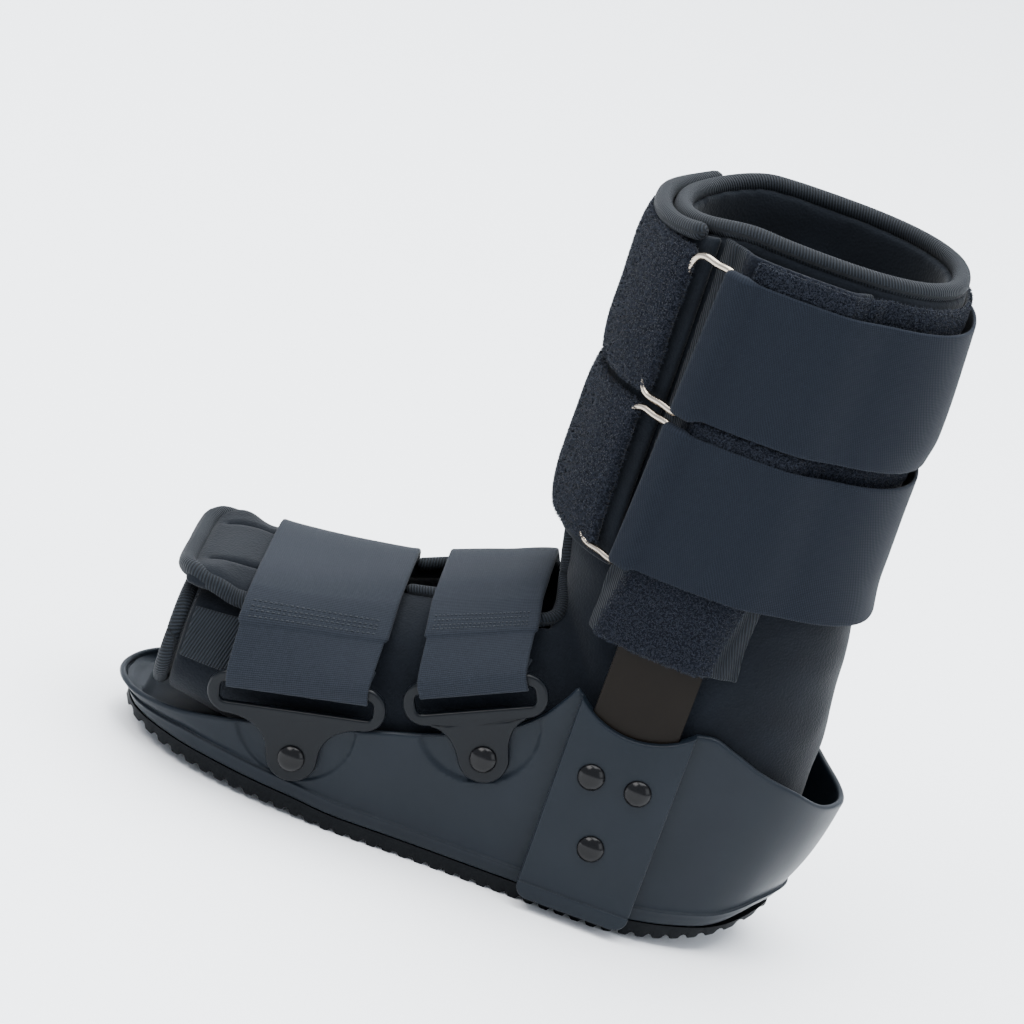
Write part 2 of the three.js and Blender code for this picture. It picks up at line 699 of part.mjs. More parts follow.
// Sets a solid that was made flat, in x and y with its front along +Z, onto a loop's seat
function onSeat(geometry, seat, lift = 0) {
  const basis = new THREE.Matrix4().makeBasis(seat.along, seat.up, seat.out);
  basis.setPosition(seat.origin.clone().addScaledVector(seat.out, lift));
  const placed = geometry.clone().applyMatrix4(basis);
  return facingOut(placed);
}

function discSolid(radius, low, high, sides) {
  const profile = [
    new THREE.Vector2(0, low),
    new THREE.Vector2(radius, low),
    new THREE.Vector2(radius, high),
    new THREE.Vector2(0, high),
  ];
  const disc = facingOut(welded(new THREE.LatheGeometry(profile, sides)));
  disc.rotateX(Math.PI / 2);
  return disc;
}

// Corner radius of a rivet hole whose flats clear the shank
const HOLE_RADIUS = (RIVET_SHANK / 2 + GAP) / Math.cos(Math.PI / RIVET_SIDES);

const strutRivets = [
  { name: 'front', x: STRUT_X - RIVET_PAIR_PITCH / 2, z: RIVET_PAIR_Z },
  { name: 'back', x: STRUT_X + RIVET_PAIR_PITCH / 2, z: RIVET_PAIR_Z },
  { name: 'low', x: STRUT_X, z: RIVET_LOW_Z },
];

function strutHole(rivet) {
  const depth = PANEL_WALL + STRUT_THICKNESS * 2;
  const hole = discSolid(HOLE_RADIUS, -1, depth, RIVET_SIDES);
  hole.rotateX(-Math.PI / 2);
  hole.translate(rivet.x, -PANEL_FACE, rivet.z);
  return facingOut(hole);
}

// The tub with its panels, upright pockets, round recesses under the loops and rivet holes
function shellGeometry() {
  let shell = toSolid(tubSolid());
  for (const side of [(g) => g, mirrored]) {
    shell = shell.add(toSolid(side(panelSolid())));
    shell = shell.subtract(toSolid(side(pocketSolid())));
    for (const row of FOOT_STRAPS) {
      const seat = loopSeat(row);
      const recess = discSolid(RECESS_RADIUS, 0, LOOP_PLATE * 2, RECESS_SIDES);
      shell = shell.subtract(toSolid(side(onSeat(recess, raised(seat)))));
      shell = shell.subtract(toSolid(side(loopRoom(row))));
      shell = shell.subtract(toSolid(side(onSeat(discSolid(HOLE_RADIUS, -WALL * 3, 1, RIVET_SIDES), seat))));
    }
    for (const rivet of strutRivets) shell = shell.subtract(toSolid(side(strutHole(rivet))));
  }
  return toGeometry(shell);
}

// A recess lies round the loop's neck, above its rivet
function raised(seat) {
  return { ...seat, origin: seat.origin.clone().addScaledVector(seat.up, RECESS_RADIUS * 0.55) };
}

// Uprights and rivets

function strutGeometry() {
  const outline = new THREE.Shape();
  const half = STRUT_WIDTH / 2;
  outline.moveTo(STRUT_X - half, STRUT_FOOT);
  outline.lineTo(STRUT_X + half, STRUT_FOOT);
  outline.lineTo(STRUT_X + half, STRUT_TOP - half * 0.4);
  outline.lineTo(STRUT_X + half * 0.6, STRUT_TOP);
  outline.lineTo(STRUT_X - half * 0.6, STRUT_TOP);
  outline.lineTo(STRUT_X - half, STRUT_TOP - half * 0.4);
  const outer = PANEL_FACE - PANEL_WALL - GAP;
  let strut = toSolid(sidePrism(outline, -outer, -outer + STRUT_THICKNESS));
  for (const rivet of strutRivets) strut = strut.subtract(toSolid(strutHole(rivet)));
  return toGeometry(strut);
}

function strutRivetGeometry(rivet) {
  const geometry = rivetSolid(RIVET_HEAD, RIVET_DOME, RIVET_SHANK, PANEL_WALL + GAP * 2 + STRUT_THICKNESS);
  geometry.translate(rivet.x, 0, 0);
  geometry.translate(0, PANEL_FACE + GAP, -rivet.z);
  geometry.applyMatrix4(new THREE.Matrix4().makeBasis(
    new THREE.Vector3(1, 0, 0),
    new THREE.Vector3(0, -1, 0),
    new THREE.Vector3(0, 0, -1),
  ));
  return geometry;
}

// Parts of the bootie

// Height of the bootie's top edge, which dips over the shin
const topAt = (x) => LEG_TOP - TOP_DIP * THREE.MathUtils.clamp(1 - x / TOP_DIP_LENGTH, 0, 1);

// What lies above the dip over the shin
function dipSolid() {
  const outline = new THREE.Shape();
  const above = LEG_TOP + TOP_DIP;
  outline.moveTo(TOP_DIP_LENGTH, LEG_TOP);
  outline.lineTo(TOP_DIP_LENGTH, above);
  outline.lineTo(-TOP_DIP_LENGTH, above);
  outline.lineTo(-TOP_DIP_LENGTH, topAt(0));
  outline.lineTo(0, topAt(0));
  return toSolid(sidePrism(outline, -SHELL_WIDTH, SHELL_WIDTH));
}

const legRise = (z) => (z - LEG_LOW) / (LEG_TOP - LEG_LOW);

// A signed power, which squares off a circle's sine or cosine
const squared = (value, power) => Math.sign(value) * Math.abs(value) ** (2 / power);

// A place on the leg: angle 0 points to the heel side, -90 degrees to the -Y side, 180 to the shin
function legPoint(angle, z, offset) {
  const rise = legRise(z);
  const back = LEG_DEPTH * legBack(rise);
  const front = LEG_DEPTH * legFront(rise);
  const middle = LEG_AXIS_X + (back - front) / 2;
  const reach = (back + front) / 2 + offset;
  const half = LEG_WIDTH * legSide(rise) + offset;
  const x = middle + reach * squared(Math.cos(angle), LEG_SQUARE);
  return new THREE.Vector3(x, half * squared(Math.sin(angle), LEG_SQUARE), z);
}

const footAlong = (x) => (x - FOOT_FRONT) / FOOT_LENGTH;

// A place on the foot: angle 90 degrees is the instep, -90 the sole, 180 the -Y side
function footPoint(angle, x, offset) {
  const along = footAlong(x);
  const low = tubFloor(x) + GAP + FOOT_HEIGHT * footLift(along);
  const high = tubFloor(0) + FOOT_HEIGHT * footTop(along);
  const half = FOOT_WIDTH * footSide(along) + offset;
  const tall = (high - low) / 2 + offset;
  const power = Math.sin(angle) > 0 ? footSquare(along) : FOOT_ROUND;
  const z = (high + low) / 2 + tall * squared(Math.sin(angle), power);
  return new THREE.Vector3(x, half * squared(Math.cos(angle), power), z);
}

function ringOf(count, pointAt) {
  return Array.from({ length: count }, (_, i) => pointAt((2 * Math.PI * i) / count));
}

function legLoft(offset, heights) {
  return ringSolid(heights.map((z) => ringOf(LEG_FACETS, (angle) => legPoint(angle, z, offset))));
}

function footLoft(offset, places) {
  return ringSolid(places.map((x) => ringOf(FOOT_FACETS, (angle) => footPoint(angle, x, offset))));
}

const legHeights = LEG.map((row) => LEG_LOW + row.rise * (LEG_TOP - LEG_LOW));
const footPlaces = FOOT.map((row) => FOOT_FRONT + row.along * FOOT_LENGTH);

// The instep window's cutter: an outline from above, and a back edge drawn from the side
function windowSolid() {
  const steps = 10;
  const plan = new THREE.Shape();
  const length = WINDOW_BACK - WINDOW_FRONT;
  const edge = Array.from({ length: steps + 1 }, (_, i) => i / steps);
  const near = edge.map((s) => new THREE.Vector2(WINDOW_FRONT + s * length, -WINDOW_HALF * windowHalf(s)));
  const far = [...near].reverse().map((p) => new THREE.Vector2(p.x, -p.y));
  plan.setFromPoints([...near, ...far]);
  const side = new THREE.Shape();
  side.moveTo(WINDOW_FRONT - 1, WINDOW_LOW);
  for (const s of edge) {
    side.lineTo(WINDOW_BACK - length * windowDraw(s), WINDOW_LOW + s * (WINDOW_TOP - WINDOW_LOW));
  }
  side.lineTo(WINDOW_FRONT - 1, WINDOW_TOP);
  const upright = toSolid(planPrism(plan, WINDOW_LOW, WINDOW_TOP));
  return upright.intersect(toSolid(sidePrism(side, -WINDOW_HALF * 2, WINDOW_HALF * 2)));
}

function topTrimPath() {
  return ringOf(LEG_FACETS / 2, (angle) => {
    const point = legPoint(angle, LEG_TOP, -LEG_WALL * 0.45);
    point.z = topAt(point.x) + TRIM / 2 + TRIM_LIFT;
    return point;
  });
}

function toeTrimPath() {
  return ringOf(FOOT_FACETS / 2, (angle) => {
    const point = footPoint(angle, FOOT_FRONT, -FOOT_WALL * 0.45);
    point.x = FOOT_FRONT - TOE_TRIM / 2 - GAP;
    return point;
  });
}

// The binding follows the window's edge from the front, along the -Y side and up the ankle
function bindingPath() {
  const length = WINDOW_BACK - WINDOW_FRONT;
  const onFoot = (x, half) => new THREE.Vector3(x, -half, instepHeight(x, half));
  const near = [0.12, 0.26, 0.42, 0.58, 0.72, 0.86].map((share) => (
    onFoot(WINDOW_FRONT + share * length, WINDOW_HALF * windowHalf(share))
  ));
  const crease = onFoot(WINDOW_BACK, WINDOW_HALF * 0.62);
  const climb = [0.7, 0.82, 0.94].map((share) => {
    const x = WINDOW_BACK - length * windowDraw(share);
    const z = WINDOW_LOW + share * (WINDOW_TOP - WINDOW_LOW);
    return legPoint(angleAt(x, z), z, 0);
  });
  return [...near, crease, ...climb];
}

// Height of the instep's surface at a place
function instepHeight(x, half) {
  const along = footAlong(x);
  const low = tubFloor(x) + GAP + FOOT_HEIGHT * footLift(along);
  const high = tubFloor(0) + FOOT_HEIGHT * footTop(along);
  const share = Math.min(half / (FOOT_WIDTH * footSide(along)), 1);
  const power = footSquare(along);
  return (high + low) / 2 + ((high - low) / 2) * (1 - share ** power) ** (1 / power);
}

// The bootie: foot and leg as one padded wall, open at the toes, over the instep and at the top
function linerGeometry() {
  const outer = toSolid(legLoft(0, legHeights)).add(toSolid(footLoft(0, footPlaces)));
  const innerHeights = [...legHeights.filter((_, i) => i > 0 && i % 2 === 1), LEG_TOP + LEG_WALL];
  const innerPlaces = [FOOT_FRONT - FOOT_WALL, ...footPlaces.filter((_, i) => i > 0 && i % 2 === 1)];
  const room = toSolid(legLoft(-LEG_WALL, innerHeights)).add(toSolid(footLoft(-FOOT_WALL, innerPlaces)));
  let liner = outer.subtract(room).subtract(windowSolid()).subtract(dipSolid());
  for (const side of [(g) => g, mirrored]) {
    const room = cordSolid(bindingPath(), BINDING + 2 * GAP, { steps: BINDING_STEPS });
    liner = liner.subtract(toSolid(side(room)));
  }
  liner = liner.subtract(toSolid(tubSolid(GAP)));
  return toGeometry(largestOf(liner));
}

// The largest of the bodies that a cut leaves
function largestOf(solid) {
  const bodies = solid.decompose();
  return bodies.reduce((best, body) => (body.volume() > best.volume() ? body : best));
}

const flapThick = tableLine(FLAP, 'share', 'thick');
const flapShare = (x) => (x - FLAP_FRONT) / FLAP_LENGTH;

// A place over the toes, also ahead of the toe opening
function toePoint(angle, x, offset) {
  const point = footPoint(angle, Math.max(x, FOOT_FRONT), offset);
  point.x = x;
  return point;
}

const degrees = (from, to, steps) =>
  Array.from({ length: steps + 1 }, (_, i) => THREE.MathUtils.degToRad(from + ((to - from) * i) / steps));

// Padded flap over the toes, thinner towards the instep, cut round its own trim
function toeFlapGeometry() {
  const angles = degrees(FLAP_EDGE, 180 - FLAP_EDGE, 7);
  const rings = FLAP.map(({ share, thick }) => {
    const x = FLAP_FRONT + share * FLAP_LENGTH;
    const inner = angles.map((angle) => toePoint(angle, x, FLAP_SEAT));
    const outer = angles.map((angle) => toePoint(angle, x, FLAP_SEAT + FLAP_THICKNESS * thick)).reverse();
    return [...inner, ...outer];
  });
  const trim = cordSolid(flapTrimPath(), TRIM + 2 * GAP, { steps: FLAP_TRIM_STEPS });
  return toGeometry(largestOf(toSolid(ringSolid(rings, wallLid)).subtract(toSolid(trim))));
}

// The flap's trim runs forward along one side, round the front corners and back
function flapTrimPath() {
  const offset = FLAP_SEAT + TRIM / 2;
  const low = 180 - FLAP_EDGE;
  const sideX = [0.38, 0.27, 0.15].map((share) => FLAP_FRONT + share * FLAP_LENGTH);
  const near = sideX.map((x) => toePoint(THREE.MathUtils.degToRad(low), x, offset));
  near.push(toePoint(THREE.MathUtils.degToRad(low - 6), FLAP_FRONT + TRIM * 0.75, offset));
  near.push(toePoint(THREE.MathUtils.degToRad(low - 22), FLAP_FRONT + TRIM * 0.05, offset));
  near.push(toePoint(THREE.MathUtils.degToRad(low - 42), FLAP_FRONT - TRIM * 0.05, offset));
  const far = [...near].reverse().map((p) => new THREE.Vector3(p.x, -p.y, p.z));
  return [...near, ...far];
}

// Ribbed webbing sewn flat on the side of the toes
function toePatchGeometry() {
  const front = FOOT_FRONT + TOE_TRIM * 0.4;
  const back = front + PATCH_LENGTH;
  const between = footPlaces.filter((x) => x > front + PATCH_STEP && x < back - PATCH_STEP);
  const places = [front, ...between, back];
  const angles = degrees(180 - PATCH_TURN, 180, 2);
  const rings = places.map((x) => {
    const inner = angles.map((angle) => footPoint(angle, x, GAP));
    const outer = angles.map((angle) => footPoint(angle, x, GAP + PATCH)).reverse();
    return [...inner, ...outer];
  });
  return ringSolid(rings, wallLid);
}

// Straps round the leg

const legAngles = degrees(-180, 180, LEG_FACETS);

// The angle on the -Y side at which the leg's surface passes a place along the boot
function angleAt(x, z) {
  const rise = legRise(z);
  const back = LEG_DEPTH * legBack(rise);
  const front = LEG_DEPTH * legFront(rise);
  const share = THREE.MathUtils.clamp((x - LEG_AXIS_X - (back - front) / 2) / ((back + front) / 2), -1, 1);
  return -Math.acos(Math.sign(share) * Math.abs(share) ** (LEG_SQUARE / 2));
}

// How far a sleeve lifts what lies over it, at one of the leg's facet corners
function sleeveCorner(angle) {
  const over = Math.abs(legPoint(angle, SLEEVE_TOP, 0).x - STRUT_X);
  if (over > SLEEVE_WIDTH / 2 + 3) return 0;
  if (over > STRUT_WIDTH / 2 + 4) return SLEEVE_EDGE;
  return PANEL_FACE - PANEL_WALL - GAP - LEG_WIDTH / 2 + SLEEVE_COVER;
}

// A place on the leg's facets: straight between two of their corners. offset is asked at both
function facetPoint(angle, z, offset) {
  const step = (2 * Math.PI) / LEG_FACETS;
  const start = Math.floor(angle / step + 1e-6) * step;
  const from = legPoint(start, z, offset(start));
  const to = legPoint(start + step, z, offset(start + step));
  return from.lerp(to, (angle - start) / step);
}

// Heights of a band's corners: its edges and every height at which the leg's wall bends
function bandHeights(low, high) {
  return [low, ...legHeights.filter((z) => z > low + 1 && z < high - 1), high];
}

// A band round the leg between two angles and two heights. inner and thick are asked at each angle
function legBand({ from, to, low, high, inner, thick }) {
  const between = legAngles.filter((angle) => angle > from + 0.02 && angle < to - 0.02);
  const heights = bandHeights(low, high);
  const rings = [from, ...between, to].map((angle) => {
    const inside = heights.map((z) => facetPoint(angle, z, inner));
    const outside = heights.map((z) => facetPoint(angle, z, (a) => inner(a) + thick(a))).reverse();
    return [...inside, ...outside];
  });
  return ringSolid(rings, wallLid);
}

// A band over the shin, from the -Y side past the front to the +Y side
function shinBand({ low, high, inner, thick, fromX, toX }) {
  const middle = (low + high) / 2;
  const near = angleAt(fromX, middle) + 2 * Math.PI;
  const far = -angleAt(toX, middle);
  const step = (2 * Math.PI) / LEG_FACETS;
  const angles = [];
  for (let k = Math.ceil(far / step + 0.1); k * step < near - 0.02; k += 1) angles.push(k * step);
  const heights = bandHeights(low, high);
  const rings = [far, ...angles, near].map((angle) => {
    const inside = heights.map((z) => facetPoint(angle, z, () => inner));
    const outside = heights.map((z) => facetPoint(angle, z, () => inner + thick)).reverse();
    return [...inside, ...outside];
  });
  return ringSolid(rings, wallLid);
}

const RING_LEFT = RING_X - RING_SPAN / 2;
const RING_RIGHT = RING_X + RING_SPAN / 2;
const STRAP_END = RING_WIRE / 2 + GAP + 0.7;
const SHIN_STRAP_INNER = SHIN_FLAP + 2 * GAP;

// Where the webbing lies above the bootie, at one of the leg's facet corners
const webbingInner = (angle) => sleeveCorner(angle) + PILE + 2 * GAP;

// A bent wire ring through the ends of a shin strap and its webbing, on the -Y side
function ringGeometry(row, grow = 0) {
  const low = row.low - RING_WIRE / 2 - RING_CLEARANCE;
  const high = row.high + RING_WIRE / 2 + RING_CLEARANCE;
  const middle = (low + high) / 2;
  const [left, right] = [angleAt(RING_LEFT, middle), angleAt(RING_RIGHT, middle)];
  const onLeft = (z) => facetPoint(left, z, () => SHIN_STRAP_INNER + SHIN_STRAP / 2);
  const onRight = (z) => facetPoint(right, z, (angle) => webbingInner(angle) + FOLD / 2);
  const tuck = RING_CORNER / RING_SPAN;
  const across = (share, z) => onLeft(z).lerp(onRight(z), share);
  const points = [
    onLeft(low + RING_CORNER), across(tuck, low), across(1 - tuck, low), onRight(low + RING_CORNER),
    onRight(middle),
    onRight(high - RING_CORNER), across(1 - tuck, high), across(tuck, high), onLeft(high - RING_CORNER),
    onLeft(middle),
  ];
  return cordSolid(points, RING_WIRE + grow * 2, { closed: true, steps: 18, sides: 5 });
}

function shinStrapGeometry(row) {
  const strap = shinBand({
    low: row.low, high: row.high, inner: SHIN_STRAP_INNER, thick: SHIN_STRAP,
    fromX: RING_LEFT + STRAP_END, toX: SHIN_FLAP_EDGE_X,
  });
  return toGeometry(toSolid(strap).subtract(toSolid(ringGeometry(row, GAP))));
}

// Webbing round the back of the leg, with a folded end that holds the wire ring
function calfWebbingGeometry(row) {
  const middle = (row.low + row.high) / 2;
  const edge = angleAt(RING_RIGHT - STRAP_END, middle);
  const foldEnd = angleAt(RING_RIGHT + FOLD_REACH, middle);
  const span = { from: edge, low: row.low, high: row.high, inner: webbingInner };
  const webbing = legBand({ ...span, to: -edge, thick: () => WEBBING });
  const fold = legBand({ ...span, to: foldEnd, thick: () => FOLD });
  const ring = toSolid(ringGeometry(row, GAP));
  return toGeometry(toSolid(webbing).add(toSolid(fold)).subtract(ring));
}

function calfPileGeometry(row) {
  const edge = angleAt(RING_RIGHT - STRAP_END, (row.low + row.high) / 2);
  const inner = (angle) => sleeveCorner(angle) + GAP;
  const high = row.high + row.pileOver;
  return legBand({ from: edge, to: -edge, low: row.low, high, inner, thick: () => PILE });
}

// A sleeve: the band that covers an upright, with the upright's channel cut out of it
function sleeveGeometry() {
  const covered = legAngles.filter((angle) => angle < 0 && sleeveCorner(angle) > 0);
  const cover = legBand({
    from: covered[0], to: covered[covered.length - 1], low: SLEEVE_LOW, high: SLEEVE_TOP,
    inner: () => GAP, thick: (angle) => sleeveCorner(angle) - GAP,
  });
  const half = STRUT_WIDTH / 2 + SLIDE;
  const channel = new THREE.Shape();
  channel.moveTo(STRUT_X - half, SLEEVE_LOW - 1);
  channel.lineTo(STRUT_X + half, SLEEVE_LOW - 1);
  channel.lineTo(STRUT_X + half, STRUT_TOP + SLIDE);
  channel.lineTo(STRUT_X - half, STRUT_TOP + SLIDE);
  const outer = PANEL_FACE - PANEL_WALL;
  const room = sidePrism(channel, -outer, -LEG_WIDTH * 0.4);
  return toGeometry(toSolid(cover).subtract(toSolid(room)));
}

function shinFlapGeometry() {
  const flap = shinBand({
    low: SHIN_FLAP_LOW, high: LEG_TOP, inner: GAP, thick: SHIN_FLAP,
    fromX: SHIN_FLAP_EDGE_X, toX: SHIN_FLAP_EDGE_X,
  });
  return toGeometry(toSolid(flap).subtract(dipSolid()));
}

function shinFlapTrimGeometry() {
  const edge = angleAt(SHIN_FLAP_EDGE_X - TRIM, LEG_TOP);
  const angles = Array.from({ length: 13 }, (_, i) => -edge + ((2 * Math.PI + 2 * edge) * i) / 12);
  const points = angles.map((angle) => {
    const point = legPoint(angle, LEG_TOP, GAP + TRIM / 2);
    point.z = topAt(point.x) + TRIM / 2 + TRIM_LIFT;
    return point;
  });
  return cordSolid(points, TRIM, { steps: 16 });
}

// Foot straps and their loops

const barHeight = LOOP_REACH + SLOT_HEIGHT + LOOP_RIM / 2;

// The flat outline of a loop: a wide slotted frame on a neck that runs into a round boss
function loopShape(width, grow = 0) {
  const half = width / 2 + SLOT_SPARE + LOOP_RIM + grow;
  const low = LOOP_REACH - LOOP_RIM - grow;
  const high = LOOP_REACH + SLOT_HEIGHT + LOOP_RIM + grow;
  const round = (high - low) * 0.48;
  const boss = LOOP_BOSS + grow;
  const lean = THREE.MathUtils.degToRad(18);
  const shape = new THREE.Shape();
  shape.absarc(0, 0, boss, Math.PI + lean * 0.2, 2 * Math.PI - lean * 0.2, false);
  shape.quadraticCurveTo(boss * 1.05, low * 0.86, half * 0.72, low);
  shape.absarc(half - round, low + round, round, -Math.PI / 2, 0, false);
  shape.absarc(half - round, high - round, round, 0, Math.PI / 2, false);
  shape.absarc(-half + round, high - round, round, Math.PI / 2, Math.PI, false);
  shape.absarc(-half + round, low + round, round, Math.PI, 1.5 * Math.PI, false);
  shape.lineTo(-half * 0.72, low);
  shape.quadraticCurveTo(-boss * 1.05, low * 0.86, -boss, boss * -0.06);
  return shape;
}

function loopGeometry(row) {
  const shape = loopShape(row.width);
  const half = row.width / 2 + SLOT_SPARE;
  const round = SLOT_HEIGHT * 0.28;
  const [low, high] = [LOOP_REACH, LOOP_REACH + SLOT_HEIGHT];
  const slot = new THREE.Path();
  slot.absarc(half - round, low + round, round, -Math.PI / 2, 0, false);
  slot.absarc(half - round, high - round, round, 0, Math.PI / 2, false);
  slot.absarc(-half + round, high - round, round, Math.PI / 2, Math.PI, false);
  slot.absarc(-half + round, low + round, round, Math.PI, 1.5 * Math.PI, false);
  const hole = new THREE.Path();
  hole.setFromPoints(ringOf(RIVET_SIDES, (angle) => new THREE.Vector2(Math.cos(angle), Math.sin(angle)))
    .map((p) => p.multiplyScalar(HOLE_RADIUS)));
  shape.holes.push(slot, hole);
  const geometry = new THREE.ExtrudeGeometry(shape, {
    depth: LOOP_PLATE, curveSegments: 2, bevelEnabled: false,
  });
  return onSeat(welded(geometry), loopSeat(row), GAP);
}

function loopRivetGeometry(row) {
  const rivet = rivetSolid(RIVET_HEAD, RIVET_DOME, RIVET_SHANK, LOOP_PLATE + GAP * 2 + WALL - RECESS_DEPTH);
  rivet.rotateX(Math.PI / 2);
  return onSeat(rivet, loopSeat(row), LOOP_PLATE + GAP * 2);
}

// Room for a loop's frame in the tub's wall
function loopRoom(row) {
  const geometry = new THREE.ExtrudeGeometry(loopShape(row.width, SLIDE), {
    depth: LOOP_PLATE * 3, curveSegments: 3, bevelEnabled: false,
  });
  return onSeat(welded(geometry), loopSeat(row));
}

// The course of a foot strap at one place across its width: from its inner end down behind the
// loop's bar, round it, up outside and over the foot to the middle
function strapCourse(row, across) {
  const seat = loopSeat(row);
  const x = row.middleX + across * Math.cos(THREE.MathUtils.degToRad(row.tilt));
  const bar = seat.origin.clone()
    .addScaledVector(seat.along, across)
    .addScaledVector(seat.up, barHeight)
    .addScaledVector(seat.out, GAP + LOOP_PLATE / 2);
  const reachOut = LOOP_PLATE / 2 + SLIDE + STRAP / 2;
  const reachUp = LOOP_RIM / 2 + SLIDE + STRAP / 2;
  const round = (angle) => bar.clone()
    .addScaledVector(seat.out, reachOut * squared(Math.sin(angle), TURN_SQUARE))
    .addScaledVector(seat.up, -reachUp * squared(Math.cos(angle), TURN_SQUARE));
  const inside = GAP * 2 + PATCH + STRAP / 2;
  const outside = inside + STRAP + SLIDE;
  const over = (row.name === 'toe' ? flapOver(x) : BINDING / 2) + STRAP_REST + STRAP / 2;
  const foot = (angle, offset) => footPoint(THREE.MathUtils.degToRad(angle), x, offset);
  const beside = (side) => bar.clone()
    .addScaledVector(seat.out, reachOut * side)
    .addScaledVector(seat.up, LOOP_RIM / 2 + SLIDE);
  return [
    foot(row.join, inside),
    beside(-1),
    ...[-80, -45, 0, 45, 80].map((angle) => round(THREE.MathUtils.degToRad(angle))),
    beside(1),
    foot(row.join, outside),
    foot(row.join - 15, Math.max(outside, over)),
    foot(Math.min(row.join - 30, 127), over),
    foot(120, over),
    foot(105, over),
    foot(90, over),
  ];
}

// How far the toe flap lifts the strap that lies over it
function flapOver(x) {
  return FLAP_SEAT + FLAP_THICKNESS * flapThick(flapShare(x));
}

// A foot strap from one loop over the foot to the other, doubled through both
function footStrapGeometry(row) {
  const half = row.width / 2;
  const courses = [-half, 0, half].map((across) => {
    const near = strapCourse(row, across);
    const far = near.slice(0, -1).reverse().map((p) => new THREE.Vector3(p.x, -p.y, p.z));
    return [...near, ...far];
  });
  const count = courses[0].length;
  const rings = Array.from({ length: count }, (_, i) => {
    const faces = courses.map((course) => {
      const before = course[Math.max(i - 1, 0)];
      const after = course[Math.min(i + 1, count - 1)];
      const normal = new THREE.Vector3(0, after.z - before.z, before.y - after.y).normalize();
      return { point: course[i], normal };
    });
    const inner = faces.map(({ point, normal }) => point.clone().addScaledVector(normal, -STRAP / 2));
    const lifted = ({ point, normal }) => point.clone().addScaledVector(normal, STRAP / 2);
    const outer = faces.map(lifted).reverse();
    return [...inner, ...outer];
  });
  return ringSolid(rings, wallLid);
}

// The whole boot

const boot = new THREE.Group();

function add(name, geometry, finish) {
  const mesh = new THREE.Mesh(geometry, new THREE.MeshStandardMaterial(finish));
  mesh.name = name;
  boot.add(mesh);
}

add('shell', shellGeometry(), charcoalPlastic);
add('outsole', soleSolid(), soleRubber);
add('liner', linerGeometry(), velour);
add('toe_flap', toeFlapGeometry(), velour);
add('toe_flap_trim', cordSolid(flapTrimPath(), TRIM, { steps: FLAP_TRIM_STEPS }), grosgrain);
add('top_trim', cordSolid(topTrimPath(), TRIM, { closed: true, steps: 22 }), grosgrain);
add('toe_trim', cordSolid(toeTrimPath(), TOE_TRIM, { closed: true, steps: 20 }), grosgrain);
add('shin_flap', shinFlapGeometry(), velour);
add('shin_flap_trim', shinFlapTrimGeometry(), grosgrain);
for (const row of FOOT_STRAPS) add(`${row.name}_strap`, footStrapGeometry(row), wovenStrap);
for (const row of LEG_STRAPS) {
  add(`shin_strap_${row.name}`, shinStrapGeometry(row), pileFabric);
  add(`calf_pile_${row.name}`, calfPileGeometry(row), pileFabric);
  add(`calf_webbing_${row.name}`, calfWebbingGeometry(row), wovenStrap);
  add(`ring_${row.name}`, ringGeometry(row), paleWire);
}
for (const [side, turn] of [['left', (g) => g], ['right', mirrored]]) {
  add(`strut_${side}`, turn(strutGeometry()), bronzedSteel);
  add(`sleeve_${side}`, turn(sleeveGeometry()), pileFabric);
  add(`toe_patch_${side}`, turn(toePatchGeometry()), grosgrain);
  add(`instep_binding_${side}`, turn(cordSolid(bindingPath(), BINDING, { steps: BINDING_STEPS })), grosgrain);
  for (const rivet of strutRivets) {
    add(`strut_rivet_${rivet.name}_${side}`, turn(strutRivetGeometry(rivet)), blackPlastic);
  }
  for (const row of FOOT_STRAPS) {
    add(`${row.name}_loop_${side}`, turn(loopGeometry(row)), blackPlastic);
    add(`${row.name}_loop_rivet_${side}`, turn(loopRivetGeometry(row)), blackPlastic);
  }
}

export default boot;
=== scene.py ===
"""Looks of the medical walking boot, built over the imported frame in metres. Sizes are in millimetres."""

import math

import bmesh
import bpy
import numpy as np
from mathutils import Matrix, Vector, noise


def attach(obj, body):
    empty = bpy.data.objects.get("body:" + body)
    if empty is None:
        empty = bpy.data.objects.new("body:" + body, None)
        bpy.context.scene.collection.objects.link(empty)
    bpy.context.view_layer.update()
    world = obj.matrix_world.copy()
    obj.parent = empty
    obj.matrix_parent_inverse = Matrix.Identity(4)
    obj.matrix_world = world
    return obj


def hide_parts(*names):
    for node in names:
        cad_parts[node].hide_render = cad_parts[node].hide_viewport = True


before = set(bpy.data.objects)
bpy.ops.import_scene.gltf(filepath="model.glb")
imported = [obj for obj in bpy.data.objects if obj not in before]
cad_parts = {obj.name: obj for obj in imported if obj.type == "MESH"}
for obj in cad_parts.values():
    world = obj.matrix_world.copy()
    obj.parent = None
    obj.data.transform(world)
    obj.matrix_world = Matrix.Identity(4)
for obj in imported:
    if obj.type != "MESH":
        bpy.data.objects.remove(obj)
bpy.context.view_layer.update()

MM = 0.001

# Camera: fitted to the photo
CAMERA_TARGET = (-16.9, 0, 122.3)
CAMERA_DISTANCE = 2000
CAMERA_RISE = 18
CAMERA_ROLL = 20
CAMERA_LENS = 195

# Tub and sole
GAP = 0.3
SHELL_LENGTH = 265
SHELL_WIDTH = 103
RIM_HEIGHT = 85
WALL = 2.6
FLOOR = 3
TUCK = 12
LEDGE_HEIGHT = 6
LEDGE_PROUD = 0.9
ROCKER_HEIGHT = 16
SOLE_THICKNESS = 6
SOLE_INSET = 0.8
RIB_PITCH = 6
RIB_DEPTH = 1.5
RIB_START = 0.21

